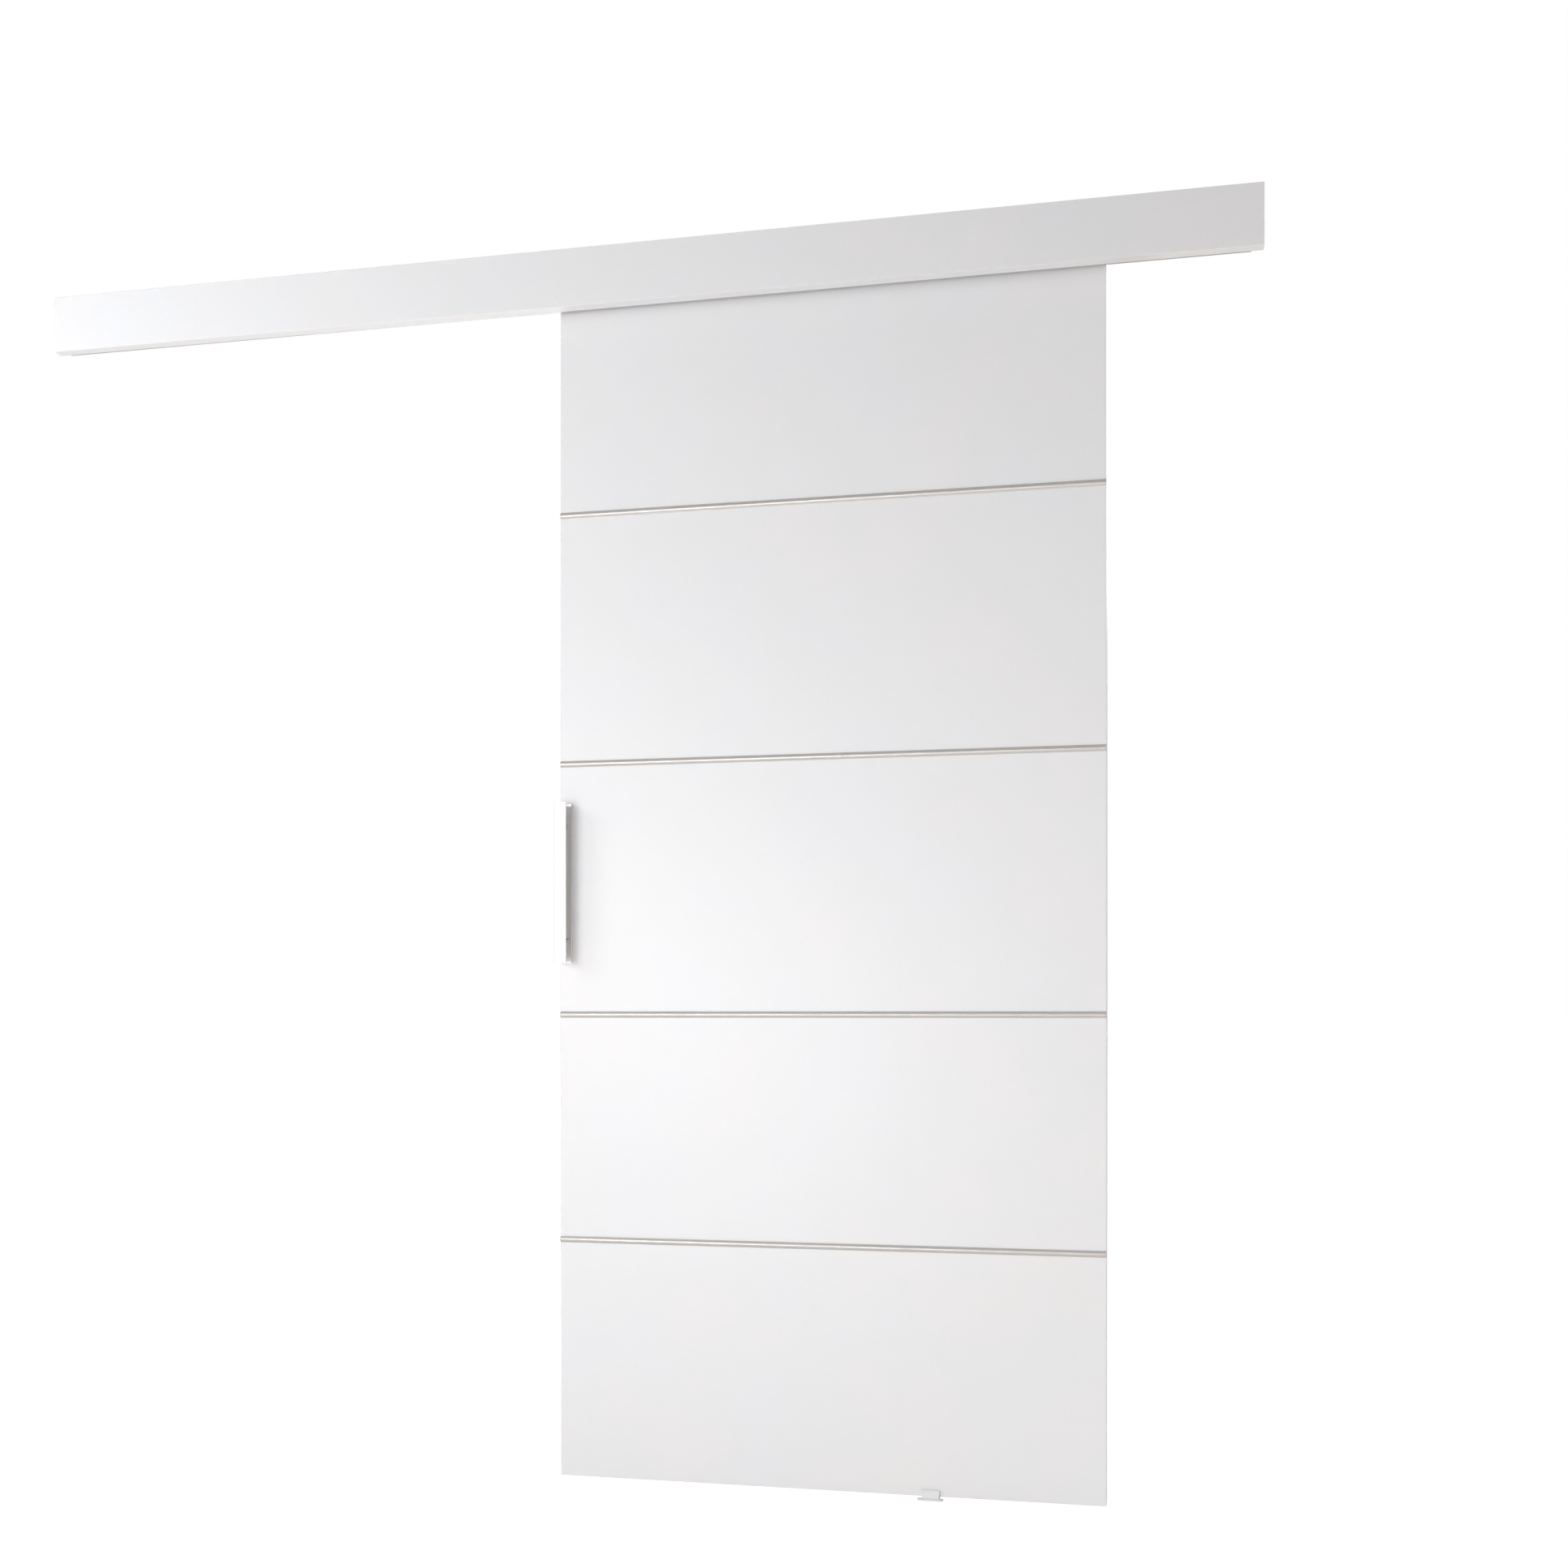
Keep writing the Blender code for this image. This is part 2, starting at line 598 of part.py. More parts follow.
def make_strips(parent):
    """Domed capping strips with a leg pressed into a saw groove."""
    crown = STRIP_PROUD - STRIP_EDGE
    radius = (STRIP_HALF**2 + crown**2) / (2 * crown)
    reach = math.degrees(math.asin(STRIP_HALF / radius))
    seat = -GAP
    dome = arc((-STRIP_PROUD + radius + seat, 0), radius, 180 - reach, 180 + reach, 8)
    leg = [(seat, -STRIP_LEG_HALF), (STRIP_LEG, -STRIP_LEG_HALF), (STRIP_LEG, STRIP_LEG_HALF),
           (seat, STRIP_LEG_HALF)]
    outline = [(seat, STRIP_HALF)] + dome + [(seat, -STRIP_HALF)] + leg
    for i, height in enumerate(reversed(STRIP_HEIGHTS), 1):
        centre = (LEAF_LEFT + LEAF_WIDTH / 2, LEAF_FRONT, LEAF_BOTTOM + height)
        prism(f"leaf_strip_{i}", [outline], LEAF_WIDTH, "x", centre, ANODISED, parent)


def make_handle(parent):
    """A channel profile, open to the right, that the fingers hook into."""
    corner = 0.0020
    root = 0.0030
    wall = HANDLE_WALL
    deep = HANDLE_PROUD
    wide = HANDLE_WIDTH
    tip = wall / 2
    outline = (
        arc((corner, -corner), corner, 180, 90, 4)
        + arc((wide - tip, -tip), tip, 90, -90, 6)
        + arc((wall + root, -wall - root), root, 90, 180, 5)
        + arc((wall + root, -deep + wall + root), root, 180, 270, 5)
        + arc((wide - tip, -deep + tip), tip, 90, -90, 6)
        + arc((corner, -deep + corner), corner, 270, 180, 4)
    )
    middle = LEAF_BOTTOM + HANDLE_LOW + HANDLE_LENGTH / 2
    place = (LEAF_LEFT, LEAF_FRONT - GAP, middle)
    handle = prism("pull_handle", [outline], HANDLE_LENGTH, "z", place, ANODISED, parent)
    screw_x = LEAF_LEFT + HANDLE_WIDTH / 2 + HANDLE_WALL / 2

    def holes(bm):
        for z in handle_screw_heights():
            rod_into(bm, (screw_x, LEAF_FRONT - wall / 2, z), "front", HANDLE_SCREW[2] + HOLE_AIR, 0.008)

    cut(handle, "handle_screw_holes", holes)
    for i, z in enumerate(handle_screw_heights(), 1):
        centre = (screw_x, LEAF_FRONT - 2 * GAP - wall, z)
        screw(f"handle_screw_{i}", centre, "front", HANDLE_SCREW, STEEL, parent)


# ---------------------------------------------------------------- trolleys
def make_hanger(side, place, parent):
    """Plate on the leaf's top edge, hanger bolt and lock nut."""
    length, width, thick = PLATE
    slot = BOLT_RADIUS + HOLE_AIR
    keyhole = arc((0, 0), slot, 90, 270, 8) + arc((0.014, 0), slot, -90, 90, 8)
    screw_hole = PLATE_SCREW[2] + HOLE_AIR
    loops = [
        rectangle((0, 0), length, width),
        keyhole,
        circle((-PLATE_SCREW_OFFSET, 0), screw_hole, 12),
        circle((PLATE_SCREW_OFFSET, 0), screw_hole, 12),
    ]
    plate_low = LEAF_TOP + GAP
    prism(f"hanger_plate_{side}", loops, thick, "z", (place, LEAF_MIDDLE, plate_low + thick / 2), ZINC, parent)
    hexagon = circle((0, 0), HEX_FLATS / math.sqrt(3), 6)
    head_centre = (place, LEAF_MIDDLE, LEAF_TOP - BOLT_HEAD / 2)
    bolt = prism(f"hanger_bolt_{side}", [hexagon], BOLT_HEAD, "z", head_centre, STEEL, parent)
    top = FLOOR + BOLT_TOP
    shank = top - LEAF_TOP + BOLT_HEAD / 2
    middle = (place, LEAF_MIDDLE, top - shank / 2)
    cut(bolt, f"bolt_shank_{side}", lambda bm: rod_into(bm, middle, "up", BOLT_RADIUS, shank), "UNION")
    nut_low = plate_low + thick + GAP
    nut = [hexagon, circle((0, 0), slot)]
    nut_centre = (place, LEAF_MIDDLE, nut_low + NUT_HEIGHT / 2)
    prism(f"lock_nut_{side}", nut, NUT_HEIGHT, "z", nut_centre, STEEL, parent)


def make_trolley(side, place, parent):
    """A narrow cast bar with a round boss for the hanger bolt and two cross bores for the axles."""
    half = TROLLEY_HALF_WIDTH
    end = TROLLEY_LENGTH / 2 - half
    shoulder = half + TROLLEY_TAPER
    swell = math.degrees(math.asin(shoulder / BOSS_RADIUS))
    outline = (
        arc((end, 0), half, -90, 90, 8)
        + arc((0, 0), BOSS_RADIUS, swell, 180 - swell, 10)
        + arc((-end, 0), half, 90, 270, 8)
        + arc((0, 0), BOSS_RADIUS, 180 + swell, 360 - swell, 10)
    )
    loops = [outline, circle((0, 0), BOLT_RADIUS + HOLE_AIR)]
    centre = (place, LEAF_MIDDLE, AXLE_HEIGHT)
    body = prism(f"trolley_body_{side}", loops, TROLLEY_HEIGHT, "z", centre, ZINC, parent)

    def bores(bm):
        for offset in (-AXLE_SPACING / 2, AXLE_SPACING / 2):
            rod_into(bm, (place + offset, LEAF_MIDDLE, AXLE_HEIGHT), "front", AXLE_RADIUS + HOLE_AIR, 0.03)

    cut(body, f"trolley_bores_{side}", bores)


def make_wheelset(number, place, leaf):
    """An axle with a nylon wheel at each end; the three turn together in the trolley."""
    centre = (place, LEAF_MIDDLE, AXLE_HEIGHT)
    axis = empty(f"wheelset_{number}_axis", centre, leaf)
    reach = WHEEL_INNER_FACE + WHEEL_WIDTH - 0.0004
    chamfer = 0.0004
    axle = [
        (0.0, reach), (AXLE_RADIUS - chamfer, reach), (AXLE_RADIUS, reach - chamfer),
        (AXLE_RADIUS, -reach + chamfer), (AXLE_RADIUS - chamfer, -reach), (0.0, -reach),
    ]
    turned(f"axle_{number}", axle, "front", centre, STEEL, axis)
    half = WHEEL_WIDTH / 2
    hub = 0.0052
    rim = WHEEL_RADIUS - 0.0028
    recess = 0.0012
    bevel = 0.0005
    bore = AXLE_RADIUS + HOLE_AIR
    face = [
        (bore, half), (hub, half), (hub, half - recess), (rim, half - recess), (rim, half),
        (WHEEL_RADIUS - bevel, half), (WHEEL_RADIUS, half - bevel),
    ]
    wheel = face + [(r, -h) for r, h in reversed(face)]
    for side, out in (("front", -1), ("rear", 1)):
        y = LEAF_MIDDLE + out * (WHEEL_INNER_FACE + half)
        turned(f"wheel_{number}_{side}", wheel, "front", (place, y, AXLE_HEIGHT), NYLON, axis, WHEEL_STEPS, True)


# ---------------------------------------------------------------- assembly
def shade(obj):
    """Smooth the round pieces and keep their sharp edges."""
    obj.data.shade_smooth()
    obj.data.set_sharp_from_angle(angle=math.radians(30))


def main():
    track = empty("track_frame", (0, 0, 0))
    leaf = empty("leaf_frame", (0, LEAF_MIDDLE, RAIL_BOTTOM + RAIL_LIP), track)
    make_wall_profile(track)
    make_running_rail(track)
    make_fascia(track)
    for side, (place, facing) in stop_places().items():
        make_end_stop(side, place, facing, track)
    make_floor_guide(track)
    make_skins(leaf)
    make_frame(leaf)
    make_strips(leaf)
    make_handle(leaf)
    number = 0
    for side, place in TROLLEY_PLACES.items():
        make_hanger(side, place, leaf)
        make_trolley(side, place, leaf)
        for offset in (-AXLE_SPACING / 2, AXLE_SPACING / 2):
            number += 1
            make_wheelset(number, place + offset, leaf)
    for i, x in enumerate(plate_screw_places(), 1):
        centre = (x, LEAF_MIDDLE, LEAF_TOP + GAP + PLATE[2] + GAP)
        screw(f"plate_screw_{i}", centre, "up", PLATE_SCREW, STEEL, leaf)
    bpy.context.view_layer.update()
    for obj in PARTS.objects:
        if obj.type == "MESH" and obj.data.polygons:
            shade(obj)


main()
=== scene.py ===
# %% [markdown]
# # A white sliding door set, piece by piece
# This lesson dresses the working model of a wall-hung sliding door: a laminated leaf with four
# aluminium strips, a fascia board that hides the track, a channel pull and a floor guide. The working
# model gives every size and place. Here each piece gets the rounding, recesses, threads and finishes
# that the eye expects, and a soft white studio to stand in.

# %% Load the working model
import json
import math

import bmesh
import bpy
from mathutils import Matrix, Vector


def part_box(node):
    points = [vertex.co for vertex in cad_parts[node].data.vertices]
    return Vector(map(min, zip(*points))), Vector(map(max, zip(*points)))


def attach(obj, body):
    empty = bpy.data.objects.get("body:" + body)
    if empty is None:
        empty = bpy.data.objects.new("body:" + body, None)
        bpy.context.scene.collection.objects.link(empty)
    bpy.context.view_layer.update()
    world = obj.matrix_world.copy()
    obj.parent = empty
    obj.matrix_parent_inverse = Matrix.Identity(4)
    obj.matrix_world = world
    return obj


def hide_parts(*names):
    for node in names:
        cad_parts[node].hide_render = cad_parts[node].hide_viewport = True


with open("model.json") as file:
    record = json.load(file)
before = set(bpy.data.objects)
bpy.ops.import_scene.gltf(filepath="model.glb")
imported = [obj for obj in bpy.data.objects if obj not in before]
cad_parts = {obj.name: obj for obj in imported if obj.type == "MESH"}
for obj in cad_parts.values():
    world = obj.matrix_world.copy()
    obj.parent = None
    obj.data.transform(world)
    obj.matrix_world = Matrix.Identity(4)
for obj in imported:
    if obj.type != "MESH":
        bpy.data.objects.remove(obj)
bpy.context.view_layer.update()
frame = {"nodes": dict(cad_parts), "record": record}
record = frame["record"]
SLOT_OF = {row["node"]: row["material_slot"] for row in record["subparts"]}
BODY_OF = {node: body for body, nodes in record["behaviour"]["bodies"].items() for node in nodes}
MM = 0.001

# %% [markdown]
# ## Places to measure from
# Everything below is placed from the working model's own boxes, so nothing has to be fitted by eye.

# %% Boxes of the main pieces
edging_low, edging_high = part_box("leaf_left_edging")
fascia_low, fascia_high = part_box("fascia_board")
guide_low, guide_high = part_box("floor_guide")
LEAF_LEFT = edging_low.x
LEAF_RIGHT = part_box("leaf_right_edging")[1].x
LEAF_FRONT = edging_low.y
LEAF_BACK = edging_high.y
LEAF_BOTTOM = edging_low.z
LEAF_TOP = edging_high.z
FLOOR = guide_low.z
GAP = 0.3 * MM
print("leaf", round(LEAF_RIGHT - LEAF_LEFT, 3), "by", round(LEAF_TOP - LEAF_BOTTOM, 3))

# %% [markdown]
# ## The camera
# The view is that of someone standing a little to the right of the leaf and three metres away, with the
# camera held level. A level camera keeps upright edges upright. The lens is shifted up instead of
# tilted, as is usual for buildings and tall doors, so the horizon sits low in the frame.

# %% A level camera with a shifted lens
EYE_FROM_LEAF_CORNER = Vector((1.0623, -3.0079, 0.8272))
EYE_TURN = math.radians(12.27)
LENS = 40.68
HORIZON_SHIFT = 0.1452

lens = bpy.data.cameras.new("door_camera")
lens.sensor_width = 36.0
lens.lens = LENS
lens.shift_y = HORIZON_SHIFT
camera = bpy.data.objects.new("door_camera", lens)
bpy.context.scene.collection.objects.link(camera)
camera.location = Vector((LEAF_LEFT, LEAF_FRONT, LEAF_BOTTOM)) + EYE_FROM_LEAF_CORNER
camera.rotation_euler = (math.radians(90), 0, EYE_TURN)
bpy.context.scene.camera = camera
print("eye height above the floor", round(camera.location.z - FLOOR, 3))

# %% [markdown]
# ## The studio
# A white product needs a white room that still has a direction. The world gives a low fill, brightest
# overhead, so that rounded metal shows dark and light bands. The camera itself sees plain white behind
# the door: a Light Path switch in the world does that without touching any material. Soft boxes do the
# rest. Two stand in front on the left, where a satin face mirrors them towards the camera. A weak warm
# one stands in front on the right, and a small high one rakes the fascia's left end. The others stand
# behind the leaf's front plane and leave its face alone: a low one fills the fascia's underside from the
# left, and three more light the door's edge, its back and its top.

# %% [markdown]
# Node trees are built with two short helpers. One adds a node with its options and values, and the
# other draws a tree's links from a list.


# %% Helpers for nodes
def add(tree, kind, **settings):
    """A node with its options set by name and its unlinked inputs by a dictionary called values."""
    values = settings.pop("values", {})
    node = tree.nodes.new(kind)
    for option, value in settings.items():
        setattr(node, option, value)
    for label, value in values.items():
        node.inputs[label].default_value = value
    return node


def link_all(tree, rows):
    """Each row is a node and its output, then a node and its input."""
    for source, out_label, target, in_label in rows:
        tree.links.new(source.outputs[out_label], target.inputs[in_label])


# %% World fill, brightest overhead
WHITE = (1, 1, 1, 1)
FILL_TOP = 0.40
FILL_HORIZON = 0.24
FILL_BOTTOM = 0.28

world = bpy.data.worlds.new("studio")
bpy.context.scene.world = world
world.use_nodes = True
bpy.context.scene.view_settings.view_transform = "Standard"
sky = world.node_tree
sky.nodes.clear()
direction = add(sky, "ShaderNodeTexCoord")
split = add(sky, "ShaderNodeSeparateXYZ")
ramp = add(sky, "ShaderNodeValToRGB")
height = add(sky, "ShaderNodeMapRange", values={"From Min": -1.0})
ramp.color_ramp.elements[0].color = (FILL_BOTTOM, FILL_BOTTOM, FILL_BOTTOM * 0.99, 1)
ramp.color_ramp.elements[1].color = (FILL_TOP, FILL_TOP, FILL_TOP * 1.01, 1)
middle = ramp.color_ramp.elements.new(0.5)
middle.color = (FILL_HORIZON, FILL_HORIZON, FILL_HORIZON, 1)
fill = add(sky, "ShaderNodeBackground")
plain = add(sky, "ShaderNodeBackground", values={"Color": WHITE})
rays = add(sky, "ShaderNodeLightPath")
choose = add(sky, "ShaderNodeMixShader")
output = add(sky, "ShaderNodeOutputWorld")
link_all(sky, [
    (direction, "Generated", split, 0), (split, "Z", height, "Value"),
    (height, "Result", ramp, "Fac"), (ramp, "Color", fill, "Color"),
    (rays, "Is Camera Ray", choose, "Fac"), (fill, 0, choose, 1), (plain, 0, choose, 2),
    (choose, 0, output, "Surface"),
])


# %% Soft boxes
def soft_box(name, place, target, width, tall, watts, colour):
    """An area lamp that faces a target point."""
    lamp = bpy.data.lights.new(name, "AREA")
    lamp.shape = "RECTANGLE"
    lamp.size = width
    lamp.size_y = tall
    lamp.energy = watts
    lamp.color = colour
    box = bpy.data.objects.new(name, lamp)
    bpy.context.scene.collection.objects.link(box)
    box.location = place
    box.rotation_euler = (target - place).to_track_quat("-Z", "Y").to_euler()


# name, place and target from the leaf's lower left front corner, width, height, watts, colour
SOFT_BOXES = [
    ("left_front", (-0.39, -3.15, 0.71), (0.01, 0, 0.71), 1.2, 1.0, 27, (0.955, 0.978, 1.0)),
    ("far_left_front", (-1.39, -3.25, 1.26), (-0.19, 0, 1.26), 1.2, 1.2, 27, (0.965, 0.983, 1.0)),
    ("right_front", (2.2, -1.9, 0.6), (0.91, 0, 0.6), 1.2, 1.2, 8, (1.0, 0.955, 0.93)),
    ("high_left", (-1.79, -1.25, 1.86), (-0.49, 0, 1.86), 0.8, 0.8, 12, (0.96, 0.98, 1.0)),
    ("low_left", (-0.9, 1.7, 0.2), (-0.6, -0.03, 2.07), 1.0, 0.6, 20, (1.0, 0.985, 0.985)),
    ("right_side", (3.1, 0.45, 2.6), (0.96, 0.0, 1.05), 1.0, 1.0, 30, (1.0, 0.985, 0.975)),
    ("behind", (1.9, 3.0, 2.9), (0.48, 0, 1.1), 1.4, 1.4, 26, (1.0, 0.99, 0.98)),
    ("above_track", (0.11, 0.9, 3.8), (0.11, 0, 2.16), 1.8, 0.6, 12, (1.0, 1.0, 1.0)),
]
corner = Vector((LEAF_LEFT, LEAF_FRONT, LEAF_BOTTOM))
for name, place, target, width, tall, watts, colour in SOFT_BOXES:
    soft_box(name, corner + Vector(place), corner + Vector(target), width, tall, watts, colour)
print("soft boxes", [row[0] for row in SOFT_BOXES])

# %% [markdown]
# ## The floor
# The floor is a plain pale sheet with a trace of warmth, which the undersides of the strips pick up. It
# glows, as a studio floor that is lit to white does, and that glow is what fills the fascia's underside.
# A second part of the glow is on camera rays only, so that the floor meets the white background without
# flooding the leaf from below. Seen from underneath the sheet is clear, so that the door's underside can
# be looked at as well.

# %% Pale floor
def object_from(name, bm):
    """A linked object that holds the bmesh."""
    mesh = bpy.data.meshes.new(name)
    bm.to_mesh(mesh)
    bm.free()
    made = bpy.data.objects.new(name, mesh)
    bpy.context.scene.collection.objects.link(made)
    return made


FLOOR_REACH = 30.0
FLOOR_DROP = 0.2 * MM
FLOOR_TONE = (0.62, 0.595, 0.57)
FLOOR_GLOW = 0.18
CAMERA_LIFT = 0.76

bm = bmesh.new()
bmesh.ops.create_grid(bm, x_segments=1, y_segments=1, size=FLOOR_REACH)
floor = object_from("studio_floor", bm)
floor.location = (0, 0, FLOOR - FLOOR_DROP)
floor_paint = bpy.data.materials.new("studio_floor")
floor_paint.use_nodes = True
floor_tree = floor_paint.node_tree
floor_shader = floor_tree.nodes["Principled BSDF"]
floor_end = floor_tree.nodes["Material Output"]
floor_shader.inputs["Base Color"].default_value = (*FLOOR_TONE, 1)
floor_shader.inputs["Roughness"].default_value = 0.8
floor_shader.inputs["Emission Color"].default_value = WHITE
seen = add(floor_tree, "ShaderNodeLightPath")
glow = add(floor_tree, "ShaderNodeMath", operation="MULTIPLY_ADD", values={1: CAMERA_LIFT, 2: FLOOR_GLOW})
side = add(floor_tree, "ShaderNodeNewGeometry")
clear = add(floor_tree, "ShaderNodeBsdfTransparent")
either = add(floor_tree, "ShaderNodeMixShader")
link_all(floor_tree, [
    (seen, "Is Camera Ray", glow, 0), (glow, 0, floor_shader, "Emission Strength"),
    (side, "Backfacing", either, "Fac"), (floor_shader, 0, either, 1), (clear, 0, either, 2),
    (either, 0, floor_end, "Surface"),
])
floor.data.materials.append(floor_paint)

# %% [markdown]
# ## Effects shared by several finishes
# An effect that more than one finish needs is built once as a shader node group and placed in each
# material with its own values. All of them read Object coordinates. The pieces are modelled in metres
# at their place, so those coordinates are metres on the real object, and a grain of 1.5 mm stays 1.5 mm.


# %% A helper that opens a new group
def open_group(name, ins, outs):
    """A node group with named sockets: each is (name, kind, default or None)."""
    group = bpy.data.node_groups.new(name, "ShaderNodeTree")
    for label, kind, value in ins:
        socket = group.interface.new_socket(label, in_out="INPUT", socket_type=kind)
        if value is not None:
            socket.default_value = value
    for label, kind in outs:
        group.interface.new_socket(label, in_out="OUTPUT", socket_type=kind)
    start = group.nodes.new("NodeGroupInput")
    end = group.nodes.new("NodeGroupOutput")
    return group, start, end


NUMBER = "NodeSocketFloat"
VECTOR = "NodeSocketVector"


# %% [markdown]
# ### Orange peel
# Melamine laminate and moulded plastic are never dead flat. Under raking light they show a soft
# dimpling a millimetre or two across, with a finer grain in it. Two layers of noise make a height, and
# a third, much larger one makes the faint clouds by which a large white panel drifts from cool to warm.

# %% The orange-peel group
peel, peel_in, peel_out = open_group(
    "orange_peel",
    [("Grain", NUMBER, 1.8 * MM), ("Cloud", NUMBER, 0.12), ("Fine", NUMBER, 0.35)],
    [("Height", NUMBER), ("Cloud", NUMBER), ("Speckle", NUMBER)],
)
where = add(peel, "ShaderNodeTexCoord")
per_grain = add(peel, "ShaderNodeMath", operation="DIVIDE", values={0: 1.0})
per_cloud = add(peel, "ShaderNodeMath", operation="DIVIDE", values={0: 1.0})
per_fine = add(peel, "ShaderNodeMath", operation="MULTIPLY", values={1: 2.2})
dimples = add(peel, "ShaderNodeTexNoise", values={"Detail": 2.0, "Roughness": 0.45})
grain = add(peel, "ShaderNodeTexNoise", values={"Detail": 3.0, "Roughness": 0.6})
clouds = add(peel, "ShaderNodeTexNoise", values={"Detail": 2.0, "Roughness": 0.5})
mix_height = add(peel, "ShaderNodeMix", data_type="FLOAT")
link_all(peel, [
    (peel_in, "Grain", per_grain, 1), (peel_in, "Cloud", per_cloud, 1),
    (per_grain, 0, dimples, "Scale"), (per_grain, 0, per_fine, 0), (per_fine, 0, grain, "Scale"),
    (per_cloud, 0, clouds, "Scale"),
])
for noise in (dimples, grain, clouds):
    peel.links.new(where.outputs["Object"], noise.inputs["Vector"])
link_all(peel, [
    (peel_in, "Fine", mix_height, "Factor"), (dimples, "Fac", mix_height, "A"),
    (grain, "Fac", mix_height, "B"), (mix_height, "Result", peel_out, "Height"),
    (clouds, "Fac", peel_out, "Cloud"), (grain, "Fac", peel_out, "Speckle"),
])

# %% [markdown]
# ### Drawn lines
# An aluminium profile is pressed through a die and keeps fine scratches along its length. The same
# noise is stretched: the coordinate along the profile is squeezed to almost nothing, so that each speck
# becomes a line. A rolled strip also has a slow ripple, a few millimetres long, that breaks up its
# reflections, so a wider noise can be mixed into the relief. Lines, relief and a mask come out.

# %% The drawn-lines group
drawn, drawn_in, drawn_out = open_group(
    "drawn_lines",
    [("Squeeze", VECTOR, (0.01, 1.0, 1.0)), ("Pitch", NUMBER, 0.35 * MM), ("Breaks", NUMBER, 9.0),
     ("Ripple", NUMBER, 0.0), ("Ripple Size", NUMBER, 3.0 * MM)],
    [("Height", NUMBER), ("Mask", NUMBER), ("Relief", NUMBER)],
)
where = add(drawn, "ShaderNodeTexCoord")
stretched = add(drawn, "ShaderNodeVectorMath", operation="MULTIPLY")
per_pitch = add(drawn, "ShaderNodeMath", operation="DIVIDE", values={0: 1.0})
lines = add(drawn, "ShaderNodeTexNoise", values={"Detail": 4.0, "Roughness": 0.65})
patches = add(drawn, "ShaderNodeTexNoise", values={"Detail": 3.0, "Roughness": 0.55})
link_all(drawn, [
    (where, "Object", stretched, 0), (drawn_in, "Squeeze", stretched, 1),
    (stretched, 0, lines, "Vector"), (drawn_in, "Pitch", per_pitch, 1),
    (per_pitch, 0, lines, "Scale"), (where, "Object", patches, "Vector"),
    (drawn_in, "Breaks", patches, "Scale"),
])
along_ripple = add(drawn, "ShaderNodeMix", data_type="VECTOR", values={"Factor": 0.35})
per_ripple = add(drawn, "ShaderNodeMath", operation="DIVIDE", values={0: 1.0})
waves = add(drawn, "ShaderNodeTexNoise", values={"Detail": 2.0, "Roughness": 0.5})
relief = add(drawn, "ShaderNodeMix", data_type="FLOAT")
link_all(drawn, [
    (stretched, 0, along_ripple, "A"), (where, "Object", along_ripple, "B"),
    (along_ripple, "Result", waves, "Vector"), (drawn_in, "Ripple Size", per_ripple, 1),
    (per_ripple, 0, waves, "Scale"), (drawn_in, "Ripple", relief, "Factor"),
    (lines, "Fac", relief, "A"), (waves, "Fac", relief, "B"),
    (relief, "Result", drawn_out, "Relief"), (lines, "Fac", drawn_out, "Height"),
    (patches, "Fac", drawn_out, "Mask"),
])

# %% [markdown]
# ### Rubbed edges
# Handling brightens the arrises of plated and cast pieces. The Geometry node's Pointiness is high on
# convex edges. A narrow range of it makes a mask, and noise breaks the mask up so that the wear is
# uneven.

# %% The rubbed-edge group
rubbed, rubbed_in, rubbed_out = open_group(
    "rubbed_edges",
    [("Start", NUMBER, 0.52), ("Full", NUMBER, 0.60), ("Patch", NUMBER, 350.0)],
    [("Mask", NUMBER)],
)
form = add(rubbed, "ShaderNodeNewGeometry")
where = add(rubbed, "ShaderNodeTexCoord")
edge = add(rubbed, "ShaderNodeMapRange")
broken = add(rubbed, "ShaderNodeTexNoise", values={"Detail": 3.0})
both = add(rubbed, "ShaderNodeMath", operation="MULTIPLY")
link_all(rubbed, [
    (form, "Pointiness", edge, "Value"), (rubbed_in, "Start", edge, "From Min"),
    (rubbed_in, "Full", edge, "From Max"), (where, "Object", broken, "Vector"),
    (rubbed_in, "Patch", broken, "Scale"), (edge, "Result", both, 0), (broken, "Fac", both, 1),
    (both, 0, rubbed_out, "Mask"),
])


# %% [markdown]
# ## Finishes
# Each finish is one material on the Principled shader. Noise moves its colour, roughness and bump only
# a little: on a clean new door the variation should be felt rather than seen.

# %% Small helpers for materials
MATERIALS = {}
NOISE_SPAN = (0.3, 0.7)  # nearly all values of a noise lie between these


def new_finish(name):
    """A material with its Principled shader, and the node tree to build in."""
    made = bpy.data.materials.new(name)
    made.use_nodes = True
    MATERIALS[name] = made
    return made.node_tree, made.node_tree.nodes["Principled BSDF"]


def use_group(tree, group, values):
    node = tree.nodes.new("ShaderNodeGroup")
    node.node_tree = group
    for label, value in values.items():
        node.inputs[label].default_value = value
    return node


def vary_colour(tree, shader, factor, first, second, spread=(0.35, 0.65)):
    """Base colour that drifts between two tones as factor goes over spread."""
    tones = tree.nodes.new("ShaderNodeValToRGB")
    tones.color_ramp.elements[0].position = spread[0]
    tones.color_ramp.elements[1].position = spread[1]
    tones.color_ramp.elements[0].color = (*first, 1)
    tones.color_ramp.elements[1].color = (*second, 1)
    tree.links.new(factor, tones.inputs["Fac"])
    tree.links.new(tones.outputs["Color"], shader.inputs["Base Color"])
    return tones


def vary_roughness(tree, shader, factor, low, high):
    """Roughness that runs from low to high as factor goes over a noise's span."""
    limits = {"From Min": NOISE_SPAN[0], "From Max": NOISE_SPAN[1], "To Min": low, "To Max": high}
    span = add(tree, "ShaderNodeMapRange", values=limits)
    tree.links.new(factor, span.inputs["Value"])
    tree.links.new(span.outputs["Result"], shader.inputs["Roughness"])


